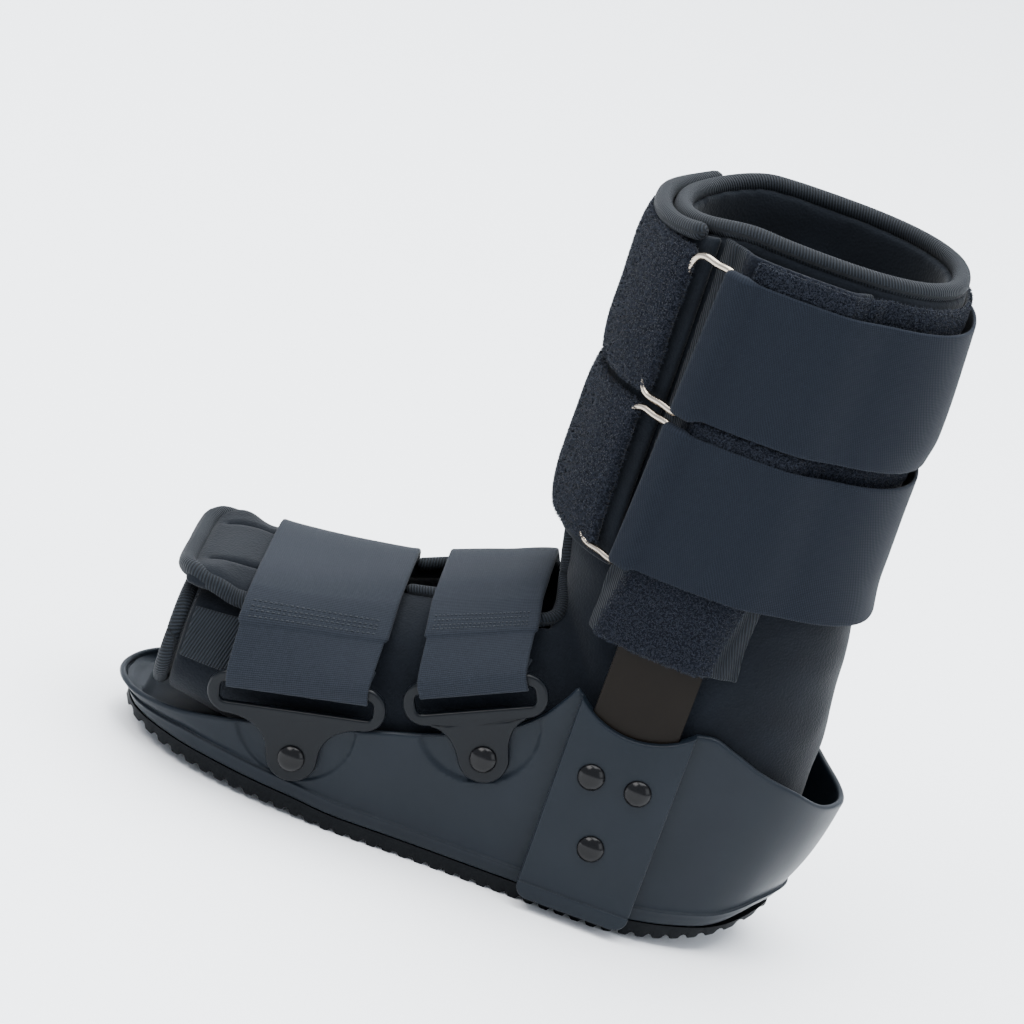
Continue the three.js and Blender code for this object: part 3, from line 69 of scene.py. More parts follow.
# Uprights and their panels
STRUT_X = 50.5
STRUT_WIDTH = 32
STRUT_EDGE = 0.4
PANEL_WIDTH = 43
PANEL_FACE = 53.3
PANEL_WALL = 2.6
PANEL_FOOT = 4.6
PANEL_CORNER = 5
PANEL_DIP = 9
PANEL_BACK_SHARE = 0.458
POCKET_BACK_SHARE = 0.43
POCKET_LOW = 21.5
POCKET_TOP = 120
POCKET_PLAY = 0.5
RIVET_HEAD = 10
RIVET_DOME = 2.6
LOOP_RIVET_LIFT = 0.6
RIVETS = {"front": (41.75, 56.7), "back": (59.25, 56.7), "low": (50.5, 31)}

# Bootie
LEG_AXIS_X = 53.5
LEG_LOW = 45
LEG_TOP = 256.5
LEG_DEPTH = 110
LEG_WIDTH = 93.4
LEG_WALL = 8
TOP_DIP = 8.5
TOP_DIP_LENGTH = 30
TOP_SEAM = 1.6
LEG_SQUARE = 2.4
FOOT_FRONT = -113
FOOT_LENGTH = 228
FOOT_HEIGHT = 100
FOOT_WIDTH = 91
FOOT_WALL = 6
FOOT_ROUND = 2.4
WINDOW_FRONT = -48
WINDOW_BACK = 10.5
WINDOW_HALF = 33
WINDOW_LOW = 60
WINDOW_TOP = 134
TRIM = 6.6
TOE_TRIM = 5.6
BINDING = 5
FLAP_FRONT = -118
FLAP_LENGTH = 71
FLAP_THICKNESS = 8
FLAP_EDGE = 48
FLAP_RISE = 3.8
FLAP_CREASE = 11.5
FLAP_CREASE_WIDTH = 1.9
FLAP_WAVES = 0.8
FOLD_DEPTH = 0.8
FOLD_PITCH = 5.2
ANKLE_HEIGHT = 100
ANKLE_SPREAD = 34
TUBE_SIDES = 96

# Leg straps, sleeves and rings
SHIN_FLAP = 3
SHIN_FLAP_LOW = 131
SHIN_FLAP_EDGE_X = 20
SHIN_STRAP = 4.6
SLEEVE_WIDTH = 52
SLEEVE_LOW = 107
SELVAGE = 4.2
SLEEVE_SWAY = 4
SLEEVE_TOP = 255
PILE = 1.7
WEBBING = 1.4
FOLD = 4.6
RING_WIRE = 2.6
RING_SPAN = 16.5
RING_X = 21.7
RING_CORNER = 2.6
RING_LEAN = 0.03
WEBBING_LEAN = 0.03
PILE_BACK = 6
STRAP_LIFT = 2.4
SLEEVE_COVER = 2.2
STRUT_COVER = 3.4
WEBBING_STEPS = (130, 34)
PILE_STEPS = (120, 26)
FOLD_START = 0.10
FOLD_END = 0.16

# Foot straps and loops
STRAP = 1.7
PATCH = 1.2
PATCH_LENGTH = 50
LOOP_PLATE = 3
LOOP_RIM = 4.6
LOOP_BOSS = 9.3
LOOP_REACH = 18.5
SLOT_HEIGHT = 7.4
SLOT_SPARE = 2.2
LAP_FROM_BAR = 26
STITCH_ROWS = 1.9
STITCH_START = 1.3
STRAP_STEPS = (260, 26)
CLEAR = 0.5
RECESS_DEPTH = 1
RECESS_RADIUS = 22.5

# Lights: places and sizes in metres, power in watts
LIGHTS = {
    "key": {
        "place": (-1.2, -1.0, 1.9),
        "toward": (0, 0, 0.1),
        "size": (1.4, 1.0),
        "watts": 50,
        "color": (1.0, 0.98, 0.96),
    },
    "top": {
        "place": (0.1, 0.5, 2.4),
        "toward": (0, 0.4, 0),
        "size": (3.2, 2.8),
        "watts": 270,
        "color": (0.97, 0.99, 1.0),
    },
    "side": {
        "place": (1.8, -1.0, 0.9),
        "toward": (0, 0, 0.12),
        "size": (1.0, 1.2),
        "watts": 12,
        "color": (0.92, 0.96, 1.0),
    },
}

# Curves, as shares of the lengths above. "square" is the power that rounds a section
OUTLINE = {
    "along": [-0.5, -0.477, -0.409, -0.345, -0.26, -0.16, -0.04, 0.11, 0.27, 0.35, 0.425, 0.477, 0.5],
    "half": [0, 0.2, 0.355, 0.43, 0.482, 0.5, 0.487, 0.481, 0.479, 0.443, 0.355, 0.2, 0],
    "tuck": [0.34, 0.34, 0.36, 0.38, 0.38, 0.36, 0.3, 0.24, 0.24, 0.4, 0.7, 0.95, 1],
}
RIM = {
    "along": [-0.5, -0.46, -0.41, -0.29, -0.135, -0.062, 0.03, 0.066, 0.092]
    + [0.101, 0.109, 0.272, 0.293, 0.33, 0.37, 0.43, 0.475, 0.5],
    "rise": [0.2, 0.215, 0.245, 0.365, 0.52, 0.59, 0.73, 0.825, 0.95]
    + [1, 0.985, 0.985, 0.993, 0.955, 0.9, 0.835, 0.765, 0.745],
}
WALL_LEVELS = {"level": [0, 0.16, 0.4, 0.7, 1], "tuck": [0.78, 0.58, 0.34, 0.14, 0]}
ROCKER = {
    "along": [-0.5, -0.466, -0.4, -0.3, -0.22, -0.145, 0.232, 0.27, 0.326, 0.383, 0.42, 0.46, 0.5],
    "rise": [0.7, 0.42, 0.24, 0.12, 0.08, 0, 0, 0.07, 0.22, 0.47, 0.74, 1, 1.1],
    "thick": [0.4, 0.5, 0.8, 1, 1, 1, 1, 1, 0.9, 0.6, 0.4, 0.34, 0.34],
}
LEG = {
    "rise": [0, 0.08, 0.19, 0.285, 0.4, 0.5, 0.69, 0.76, 1],
    "front": [0.34, 0.385, 0.395, 0.405, 0.46, 0.477, 0.481, 0.486, 0.493],
    "back": [0.565, 0.58, 0.573, 0.556, 0.53, 0.505, 0.499, 0.516, 0.493],
    "side": [0.46, 0.475, 0.495, 0.5, 0.5, 0.5, 0.5, 0.5, 0.5],
}
FOOT = {
    "along": [0, 0.06, 0.12, 0.22, 0.32, 0.43, 0.53, 0.64, 0.8, 0.92, 1],
    "lift": [0.085, 0.065, 0.045, 0.012, 0, 0, 0, 0, 0.01, 0.06, 0.16],
    "top": [0.575, 0.6, 0.635, 0.705, 0.785, 0.885, 0.965, 0.93, 0.8, 0.6, 0.45],
    "side": [0.46, 0.478, 0.49, 0.5, 0.5, 0.488, 0.484, 0.484, 0.47, 0.39, 0.22],
    "square": [4.2, 4, 3.7, 3.2, 2.7, 2.8, 2.8, 2.4, 2.4, 2.4, 2.4],
}
WINDOW = {"along": [0, 0.08, 0.3, 0.6, 0.85, 1], "half": [0.25, 0.45, 0.57, 0.68, 0.95, 1]}
WINDOW_SIDE = {"rise": [0, 0.5, 0.58, 0.75, 0.9, 1], "draw": [0.03, 0, 0, 0.043, 0.082, 0.105]}
FLAP = {"share": [0, 0.05, 0.16, 0.4, 0.75, 1], "thick": [0.5, 0.8, 1, 0.72, 0.4, 0.25]}

# Rows: turns, tilts and joins in degrees, heights and the straps' sizes in millimetres, the rest shares
FLAP_TRIM = {
    "turn": [-4, -2, 0, 0.5, 3, 9, 19, 31, 42],
    "ahead": [0.48, 0.38, 0.27, 0.16, 0.08, 0.025, -0.02, -0.035, -0.035],
}
RIB = {"step": [0, 0.08, 0.42, 0.5, 0.62, 0.74, 0.88], "drop": [0.12, 0, 0, 0.12, 0.8, 1, 0.8]}
DOME = {
    "share": [1, 1, 0.985, 0.93, 0.8, 0.6, 0.35, 0.12],
    "height": [-0.4, 0.25, 0.5, 0.86, 1.45, 2.05, 2.45, RIVET_DOME],
}
FOOT_STRAPS = {
    "toe": {"rivet_x": -61, "rivet_z": 24, "tilt": 13, "width": 51, "middle_x": -69.5, "join": 165},
    "instep": {"rivet_x": 3.5, "rivet_z": 48.5, "tilt": 26, "width": 39, "middle_x": -14.5, "join": 153},
}
LEG_STRAPS = {
    "lower": {"low": 136, "high": 188, "pile_over": 5},
    "upper": {"low": 195.5, "high": 247.5, "pile_over": 7},
}


# Reading tables


def curve(table, at, column):
    """A smooth curve through one column that never overshoots its rows, for numbers and arrays."""
    x, y = np.array(table[at], float), np.array(table[column], float)
    slopes = np.diff(y) / np.diff(x)
    before, after = np.concatenate([slopes[:1], slopes]), np.concatenate([slopes, slopes[-1:]])
    product = before * after
    total = np.where(product > 0, before + after, 1)
    tangents = np.where(product > 0, 2 * product / total, 0)

    def read(value):
        t = np.clip(value, x[0], x[-1])
        i = np.clip(np.searchsorted(x, t, side="right") - 1, 0, len(x) - 2)
        span = x[i + 1] - x[i]
        s = (t - x[i]) / span
        rest = 1 - s
        start = y[i] * (1 + 2 * s) * rest**2 + tangents[i] * span * s * rest**2
        return start + y[i + 1] * (3 - 2 * s) * s**2 - tangents[i + 1] * span * s**2 * rest

    return read


rim_rise = curve(RIM, "along", "rise")
rocker_rise = curve(ROCKER, "along", "rise")
sole_share = curve(ROCKER, "along", "thick")
tuck_share = curve(OUTLINE, "along", "tuck")
wall_tuck = curve(WALL_LEVELS, "level", "tuck")
leg_front, leg_back, leg_side = [curve(LEG, "rise", c) for c in ("front", "back", "side")]
foot_lift, foot_top, foot_side = [curve(FOOT, "along", c) for c in ("lift", "top", "side")]
foot_square = curve(FOOT, "along", "square")
window_half = curve(WINDOW, "along", "half")
window_draw = curve(WINDOW_SIDE, "rise", "draw")
flap_thick = curve(FLAP, "share", "thick")


def smooth(value, start, end):
    """0 before start, 1 after end and a soft step between."""
    t = np.clip((value - start) / (end - start), 0, 1)
    return t * t * (3 - 2 * t)


def stack(*columns):
    return np.stack(np.broadcast_arrays(*columns), axis=-1).astype(float)


def unit(vectors):
    return vectors / np.maximum(np.linalg.norm(vectors, axis=-1, keepdims=True), 1e-9)


def full_turn(count):
    """Angles spaced evenly round a circle."""
    return np.linspace(0, 2 * math.pi, count, endpoint=False)


def mirrored(points):
    """A row of points on the other side of the boot, in reverse."""
    return (points * [1, -1, 1])[::-1]


def through(points, count, closed=False):
    """count points spaced evenly along a centripetal Catmull-Rom curve through the points."""
    p = np.array(points, float)
    if closed:
        p = np.concatenate([p[-1:], p, p[:2]])
    else:
        p = np.concatenate([[2 * p[0] - p[1]], p, [2 * p[-1] - p[-2]]])
    t = np.linspace(0, 1, 24, endpoint=False)[:, None]
    parts = []
    for i in range(1, len(p) - 2):
        a, b, c = [max(np.linalg.norm(p[i + k] - p[i + k - 1]) ** 0.5, 1e-4) for k in (0, 1, 2)]
        start = ((p[i] - p[i - 1]) / a - (p[i + 1] - p[i - 1]) / (a + b) + (p[i + 1] - p[i]) / b) * b
        end = ((p[i + 1] - p[i]) / b - (p[i + 2] - p[i]) / (b + c) + (p[i + 2] - p[i + 1]) / c) * b
        h = (1 + 2 * t) * (1 - t) ** 2
        parts.append(p[i] * h + p[i + 1] * (1 - h) + start * t * (1 - t) ** 2 - end * t**2 * (1 - t))
    line = np.concatenate([*parts, p[-2:-1]])
    return evenly(line, count, closed)


def evenly(line, count, closed=False):
    along = np.concatenate([[0], np.cumsum(np.linalg.norm(np.diff(line, axis=0), axis=1))])
    at = np.linspace(0, along[-1], count, endpoint=not closed)
    return np.stack([np.interp(at, along, line[:, k]) for k in range(line.shape[1])], axis=1)


# Making meshes


def linked(name, data):
    """A new object in the scene."""
    made = bpy.data.objects.new(name, data)
    bpy.context.scene.collection.objects.link(made)
    return made


def mesh_piece(name, points, faces, material, uvs=None):
    """A new object from points in millimetres. uvs gives one pair in millimetres per face corner."""
    mesh = bpy.data.meshes.new(name)
    mesh.from_pydata((np.asarray(points) * MM).tolist(), [], faces)
    if uvs is not None:
        layer = mesh.uv_layers.new(name="cloth")
        layer.data.foreach_set("uv", np.asarray(uvs, np.float32).ravel())
    mesh.update()
    work = bmesh.new()
    work.from_mesh(mesh)
    bmesh.ops.recalc_face_normals(work, faces=work.faces)
    work.to_mesh(mesh)
    work.free()
    mesh.shade_smooth()
    if material:
        mesh.materials.append(material)
    return linked(name, mesh)


def loft_data(rings, closed=False, caps=True, u=None, v=None):
    """Points, faces and uvs of rings of points. Each ring is closed on itself."""
    rings = np.asarray(rings, float)
    rows, cols = rings.shape[:2]
    u = np.arange(rows + 1) if u is None else np.append(u, u[-1] + (u[-1] - u[-2]))
    v = np.arange(cols + 1) if v is None else np.append(v, v[0])
    faces, uvs = [], []
    for i in range(rows if closed else rows - 1):
        n = (i + 1) % rows
        for j in range(cols):
            m = (j + 1) % cols
            faces.append((i * cols + j, i * cols + m, n * cols + m, n * cols + j))
            uvs += [(u[i], v[j]), (u[i], v[j + 1]), (u[i + 1], v[j + 1]), (u[i + 1], v[j])]
    if caps and not closed:
        for row in (0, rows - 1):
            faces.append(tuple(row * cols + j for j in range(cols)))
            uvs += [(u[row], v[j]) for j in range(cols)]
    return rings.reshape(-1, 3), faces, uvs


def loft(name, rings, material, **how):
    points, faces, uvs = loft_data(rings, **how)
    return mesh_piece(name, points, faces, material, uvs)


def lengths(points):
    return np.concatenate([[0], np.cumsum(np.linalg.norm(np.diff(points, axis=0), axis=1))])


def tube(name, path, radius, material, closed=False, sides=14):
    """A round cord along a path, with rounded ends if it is open."""
    path = np.asarray(path, float)
    radius = np.broadcast_to(np.asarray(radius, float), (len(path),)).copy()
    if not closed:
        first, last = unit(path[0] - path[1]), unit(path[-1] - path[-2])
        steps = np.array([0.95, 0.7, 0.38])
        before = path[0] + first * (steps * radius[0])[:, None]
        after = path[-1] + last * (steps[::-1] * radius[-1])[:, None]
        path = np.concatenate([before, path, after])
        shrink = np.sqrt(1 - steps**2)
        radius = np.concatenate([radius[0] * shrink, radius, radius[-1] * shrink[::-1]])
    if closed:
        tangent = unit(np.roll(path, -1, axis=0) - np.roll(path, 1, axis=0))
    else:
        tangent = unit(np.gradient(path, axis=0))
    side = unit(np.cross(tangent, [0.02, 0.03, 1.0]))
    over = np.cross(side, tangent)
    angles = full_turn(sides)
    ring = side[:, None] * np.cos(angles)[None, :, None] + over[:, None] * np.sin(angles)[None, :, None]
    rings = path[:, None] + ring * radius[:, None, None]
    return loft(name, rings, material, closed=closed, u=lengths(path), v=angles * radius.mean())


def sheet_rings(middle, thick, edge_points=4):
    """Closed rings round a sheet. middle is a grid across x along of points, thick its thickness."""
    across, along = middle.shape[:2]
    thick = np.broadcast_to(thick, (across, along))[..., None] / 2
    da, dk = np.gradient(middle, axis=0), np.gradient(middle, axis=1)
    normal = unit(np.cross(dk, da))
    parts = [middle + normal * thick]
    turn = np.linspace(math.pi / 2, -math.pi / 2, edge_points + 2)[1:-1]
    for end, sign, order in ((-1, 1, turn), (0, -1, turn[::-1])):
        out = unit(da[end]) * sign
        edge = [middle[end] + thick[end] * (out * math.cos(a) + normal[end] * math.sin(a)) for a in order]
        if end == -1:
            parts += [np.array(edge), (middle - normal * thick)[::-1]]
        else:
            parts.append(np.array(edge))
    rings = np.concatenate(parts).transpose(1, 0, 2)
    width = np.linalg.norm(np.diff(middle[:, along // 2], axis=0), axis=1)
    v = np.concatenate([[0], np.cumsum(width)])
    m = edge_points
    v = np.concatenate([v, np.full(m, v[-1]), v[::-1], np.full(m, v[0])])
    return rings, v


def with_round_ends(middle, thick):
    """A sheet's grid and thickness with three thinning rows added at each end."""
    ends = np.array([0.97, 0.75, 0.4])
    first = unit(middle[:, 0] - middle[:, 1])
    last = unit(middle[:, -1] - middle[:, -2])
    half_start, half_end = thick[:, 0] / 2, thick[:, -1] / 2
    head = np.stack([middle[:, 0] + first * (half_start * e)[:, None] for e in ends], axis=1)
    tail = np.stack([middle[:, -1] + last * (half_end * e)[:, None] for e in ends[::-1]], axis=1)
    shrink = np.sqrt(1 - ends**2)
    grid = np.concatenate([head, middle, tail], axis=1)
    return grid, np.concatenate([thick[:, :1] * shrink, thick, thick[:, -1:] * shrink[::-1]], axis=1)


def close_sheet(faces, uvs, start, u, v, across, edge_points):
    """Faces over one end of a sheet. start is the number of its first point."""
    mirror = 2 * across + edge_points - 1
    for j in range(across - 1):
        faces.append((start + j, start + j + 1, start + mirror - j - 1, start + mirror - j))
        uvs += [(u, v[j])] * 4
    right = range(across - 1, across + edge_points + 1)
    left = [*range(mirror, len(v)), 0]
    for ring in (right, left):
        faces.append(tuple(start + j for j in ring))
        uvs += [(u, 0)] * len(ring)


def sheet_piece(name, middle, thick, material, edge_points=4):
    """A sheet of cloth of even or varying thickness with rounded edges and ends."""
    across, along = middle.shape[:2]
    thick = np.broadcast_to(thick, (across, along)).astype(float)
    grid, thick = with_round_ends(middle, thick)
    rings, v = sheet_rings(grid, thick, edge_points)
    u = lengths(grid[across // 2])
    points, faces, uvs = loft_data(rings, caps=False, u=u, v=v)
    for row in (0, len(rings) - 1):
        close_sheet(faces, uvs, row * rings.shape[1], u[row], v, across, edge_points)
    return mesh_piece(name, points, faces, material, uvs)


def mirror_of(piece, name):
    """The same piece on the other side of the boot."""
    mesh = piece.data.copy()
    mesh.transform(Matrix.Diagonal((1, -1, 1, 1)))
    mesh.flip_normals()
    return linked(name, mesh)



def baked(piece):
    """The piece with its modifiers applied."""
    graph = bpy.context.evaluated_depsgraph_get()
    mesh = bpy.data.meshes.new_from_object(piece.evaluated_get(graph))
    piece.modifiers.clear()
    piece.data = mesh
    return piece


def cut(piece, other, operation="DIFFERENCE"):
    """Joins or cuts one solid with another, which is used up."""
    change = piece.modifiers.new("cut", "BOOLEAN")
    change.operation = operation
    change.object = other
    change.solver = "MANIFOLD"
    bpy.context.view_layer.update()
    baked(piece)
    bpy.data.objects.remove(other)
    return piece


def prism(outline, near, far):
    """An outline drawn in x and z, from y = near to y = far."""
    outline = np.array(outline, float)
    rings = [stack(outline[:, 0], y, outline[:, 1]) for y in (near, far)]
    return loft("cutter", rings, None)


def plate_mesh(name, outlines, depth, round_edge, steps):
    """A filled curve with rounded edges as a mesh."""
    data = bpy.data.curves.new(name, "CURVE")
    data.dimensions = "2D"
    data.fill_mode = "BOTH"
    data.extrude = (depth / 2 - round_edge) * MM
    data.bevel_depth = round_edge * MM
    data.bevel_resolution = steps
    data.offset = -round_edge * MM
    for outline in outlines:
        spline = data.splines.new("POLY")
        spline.points.add(len(outline) - 1)
        for point, (x, y) in zip(spline.points, outline):
            point.co = (x * MM, y * MM, 0, 1)
        spline.use_cyclic_u = True
    holder = linked(name, data)
    bpy.context.view_layer.update()
    graph = bpy.context.evaluated_depsgraph_get()
    mesh = bpy.data.meshes.new_from_object(holder.evaluated_get(graph))
    bpy.data.objects.remove(holder)
    return mesh


def drawn(name, outlines, depth, round_edge, place, material, steps=3):
    """A plate with rounded edges from flat closed outlines, the first outside and the others holes."""
    mesh = plate_mesh(name, outlines, depth, round_edge, steps)
    mesh.transform(place)
    work = bmesh.new()
    work.from_mesh(mesh)
    bmesh.ops.remove_doubles(work, verts=work.verts, dist=0.00002)
    bmesh.ops.recalc_face_normals(work, faces=work.faces)
    work.to_mesh(mesh)
    work.free()
    piece = linked(name, mesh)
    dress(piece, material)
    soften(piece, 35)
    return piece


def dress(piece, material):
    piece.data.materials.clear()
    piece.data.materials.append(material)


def soften(piece, degrees):
    """Smooth shading up to an angle between faces."""
    piece.data.shade_smooth()
    piece.data.set_sharp_from_angle(angle=math.radians(degrees))


def keep(piece, node):
    """Parents a piece to the root body and hides the CAD node that it stands for."""
    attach(piece, "root")
    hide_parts(node)


def keep_pair(left, name):
    """Keeps a piece of the near side and its mirror image, and gives both."""
    right = mirror_of(left, f"{name}_right_look")
    keep(left, f"{name}_left")
    keep(right, f"{name}_right")
    return left, right


def keep_tube(node, path, width, material, slot, **how):
    """A cord that stands for a CAD node."""
    piece = tube(f"{node}_look", path, width / 2, material, **how)
    keep(piece, node)


def keep_trim(node, path, width, **how):
    keep_tube(node, path, width, TAPE, "trim_tape", **how)


def wave(x, y, z, seed, size):
    """Smooth noise between about -1 and 1 at places in millimetres."""
    flat = [np.ravel(a) for a in np.broadcast_arrays(x, y, z)]
    shift = Vector((seed * 17.3, seed * 5.1, seed * 9.7))
    values = [noise.noise(Vector(p) / size + shift) for p in zip(*flat)]
    return np.array(values).reshape(np.broadcast(x, y, z).shape)


# Materials


SPECK_SIZE = 0.022
SPECK_LIGHT = 2.4
STREAK_RARITY = 0.79
STREAK_STRETCH = (60, 200, 900)
STREAK_TURN = (0.3, 0.6, 0.2)


class Shader:
    """A procedural material on a principled surface."""

    def __init__(self, name, color, roughness, **inputs):
        self.material = bpy.data.materials.new(name)
        self.material.use_nodes = True
        self.tree = self.material.node_tree
        self.surface = self.tree.nodes["Principled BSDF"]
        self.set(self.surface, "Base Color", (*color, 1))
        self.set(self.surface, "Roughness", roughness)
        for key, value in inputs.items():
            self.set(self.surface, key.replace("_", " "), value)
        self.normal = None

    def set(self, node, socket, value):
        if isinstance(value, bpy.types.NodeSocket):
            self.tree.links.new(value, node.inputs[socket])
        else:
            node.inputs[socket].default_value = value

    def node(self, kind, out=0, options=(), **inputs):
        made = self.tree.nodes.new(kind)
        for key, value in dict(options).items():
            setattr(made, key, value)
        for key, value in inputs.items():
            socket = int(key[1:]) if key[0] == "i" and key[1:].isdigit() else key.replace("_", " ")
            self.set(made, socket, value)
        return made.outputs[out]

    def math(self, operation, a, b=0.0):
        return self.node("ShaderNodeMath", options={"operation": operation}, i0=a, i1=b)

    def place(self):
        """Places on the boot, in metres."""
        return self.node("ShaderNodeTexCoord", out="Object")

    def noise(self, scale, detail=2.0, where=None):
        where = where or self.place()
        return self.node("ShaderNodeTexNoise", out="Fac", Vector=where, Scale=scale, Detail=detail)

    def weave_axes(self):
        """Millimetres along and across the cloth."""
        uv = self.node("ShaderNodeUVMap", options={"uv_map": "cloth"})
        split = self.tree.nodes.new("ShaderNodeSeparateXYZ")
        self.set(split, 0, uv)
        return split.outputs[0], split.outputs[1]

    def ridges(self, value, pitch):
        """A wave from 0 to 1 with that pitch."""
        turned = self.math("MULTIPLY", value, 2 * math.pi / pitch)
        return self.math("ADD", self.math("MULTIPLY", self.math("SINE", turned), 0.5), 0.5)

    def speckled(self, base, scale):
        """The base fac with a few sparse bright specks and faint streaks."""
        cells = self.node("ShaderNodeTexVoronoi", out="Distance", Vector=self.place(), Scale=scale)
        speck = self.math("MULTIPLY", self.math("LESS_THAN", cells, SPECK_SIZE), SPECK_LIGHT)
        turned = {"Scale": STREAK_STRETCH, "Rotation": STREAK_TURN}
        stretched = self.node("ShaderNodeMapping", Vector=self.place(), **turned)
        bright = self.math("GREATER_THAN", self.noise(1, 1, stretched), STREAK_RARITY)
        streak = self.math("MULTIPLY", bright, SPECK_LIGHT / 3)
        return self.math("ADD", base, self.math("ADD", speck, streak))

    def bump(self, height, depth_mm, strength=1.0):
        made = self.tree.nodes.new("ShaderNodeBump")
        self.set(made, "Height", height)
        self.set(made, "Distance", depth_mm * MM)
        self.set(made, "Strength", strength)
        if self.normal is not None:
            self.set(made, "Normal", self.normal)
        self.normal = made.outputs[0]
        self.set(self.surface, "Normal", self.normal)

    def tint(self, fac, dark, light):
        """Base colour between two colours."""
        colors = {"i6": (*dark, 1), "i7": (*light, 1)}
        mix = self.node("ShaderNodeMix", out=2, options={"data_type": "RGBA"}, i0=fac, **colors)
        self.set(self.surface, "Base Color", mix)

    def rough(self, fac, low, high):
        spread = self.node("ShaderNodeMapRange", Value=fac, To_Min=low, To_Max=high)
        self.set(self.surface, "Roughness", spread)


def rounded(shader, radius):
    """Catches light along hard edges."""
    shader.normal = shader.node("ShaderNodeBevel", options={"samples": 6}, Radius=radius * MM)
    shader.set(shader.surface, "Normal", shader.normal)


def shell_material():
    s = Shader("shell_plastic", (0.005, 0.007, 0.0095), 0.42, Specular_IOR_Level=0.13)
    rounded(s, 0.7)
    fine = s.noise(1400, 3)
    s.bump(fine, 0.05, 0.35)
    s.tint(s.speckled(s.noise(25, 4), 60), (0.0029, 0.0048, 0.0074), (0.0062, 0.0092, 0.0134))
    s.rough(s.noise(60, 5), 0.34, 0.5)
    return s.material


def plain_material(name, color, roughness, grain, shine, **inputs):
    """One colour. grain is noise and the depth and strength of its bump, shine noise and roughness."""
    s = Shader(name, color, roughness, **inputs)
    s.bump(s.noise(*grain[:2]), *grain[2:])
    s.rough(s.noise(*shine[:2]), *shine[2:])
    return s.material


def strut_material():
    s = Shader("strut_metal", (0.004, 0.003, 0.0022), 0.4, Metallic=0.1, Specular_IOR_Level=0.07)
    rounded(s, 0.4)
    s.tint(s.noise(35, 3), (0.0036, 0.0026, 0.0018), (0.0068, 0.0052, 0.0038))
    s.bump(s.noise(1500, 2), 0.02, 0.2)
    s.rough(s.noise(50, 4), 0.3, 0.42)
    return s.material


def velour_material():
    sheen = {"Sheen_Weight": 0.06, "Sheen_Roughness": 0.5}
    s = Shader("liner_velour", (0.003, 0.0045, 0.0075), 0.9, Specular_IOR_Level=0.1, **sheen)
    s.tint(s.noise(60, 5), (0.0009, 0.0016, 0.0030), (0.0030, 0.0048, 0.0078))
    knit = s.node("ShaderNodeTexVoronoi", out="Distance", Vector=s.place(), Scale=1100)
    s.bump(knit, 0.25, 0.6)
    s.bump(s.noise(700, 3), 0.12, 0.4)
    return s.material


def pile_material():
    sheen = {"Sheen_Weight": 0.08, "Sheen_Roughness": 0.45}
    s = Shader("pile", (0.003, 0.004, 0.008), 0.95, Specular_IOR_Level=0.1, **sheen)
    s.tint(s.noise(700, 3), (0.0006, 0.0010, 0.0022), (0.0058, 0.0080, 0.0136))
    s.bump(s.noise(700, 4), 0.9, 0.9)
    return s.material


def leg_webbing_material():
    s = Shader("leg_webbing", (0.008, 0.010, 0.014), 0.78, Sheen_Weight=0.02, Specular_IOR_Level=0.08)
    along, across = s.weave_axes()
    twill = s.ridges(s.math("ADD", along, s.math("MULTIPLY", across, 0.55)), 0.9)
    threads = s.ridges(across, 0.62)
    cloth = s.math("ADD", s.math("MULTIPLY", twill, 0.6), s.math("MULTIPLY", threads, 0.4))
    # Painted shade and highlight: the tint follows the weave's height, dark in the hollows between threads
    # and light on their crests
    s.tint(cloth, (0.0013, 0.0023, 0.0045), (0.0082, 0.0110, 0.0168))
    s.bump(cloth, 0.16, 0.8)
    s.bump(s.noise(260, 4), 0.15, 0.35)
    return s.material


def foot_webbing_material():
    s = Shader("foot_webbing", (0.010, 0.012, 0.016), 0.8, Sheen_Weight=0.03, Specular_IOR_Level=0.1)
    along, across = s.weave_axes()
    ribs = s.ridges(along, 0.72)
    threads = s.ridges(across, 0.8)
    weave = s.math("ADD", s.math("MULTIPLY", ribs, 0.5), s.math("MULTIPLY", threads, 0.2))
    cloth = s.math("ADD", weave, s.math("MULTIPLY", s.noise(1100, 3), 0.45))
    # Partly painted shade and highlight, partly random tone: the weave part darkens the hollows between
    # threads and lightens their crests, and the noise part is random tone
    s.tint(cloth, (0.0010, 0.0018, 0.0032), (0.0142, 0.0176, 0.0244))
    s.bump(cloth, 0.16, 0.8)
    s.bump(s.noise(300, 4), 0.2, 0.4)
    return s.material


def tape_material():
    s = Shader("trim_tape", (0.005, 0.0065, 0.009), 0.72, Sheen_Weight=0.03, Specular_IOR_Level=0.12)
    along, across = s.weave_axes()
    ribs = s.ridges(s.math("ADD", along, s.math("MULTIPLY", across, 0.25)), 1.1)
    # Painted shade and highlight: the rib tint is dark in the grooves and light on the crests, standing in
    # for light falling across the ribs
    s.tint(ribs, (0.0008, 0.0013, 0.0021), (0.0090, 0.0118, 0.0160))
    s.bump(ribs, 0.3, 0.9)
    return s.material


def thread_material():
    s = Shader("stitch_thread", (0.011, 0.014, 0.018), 0.65, Sheen_Weight=0.05, Specular_IOR_Level=0.2)
    s.bump(s.noise(2500, 2), 0.05, 0.5)
    return s.material


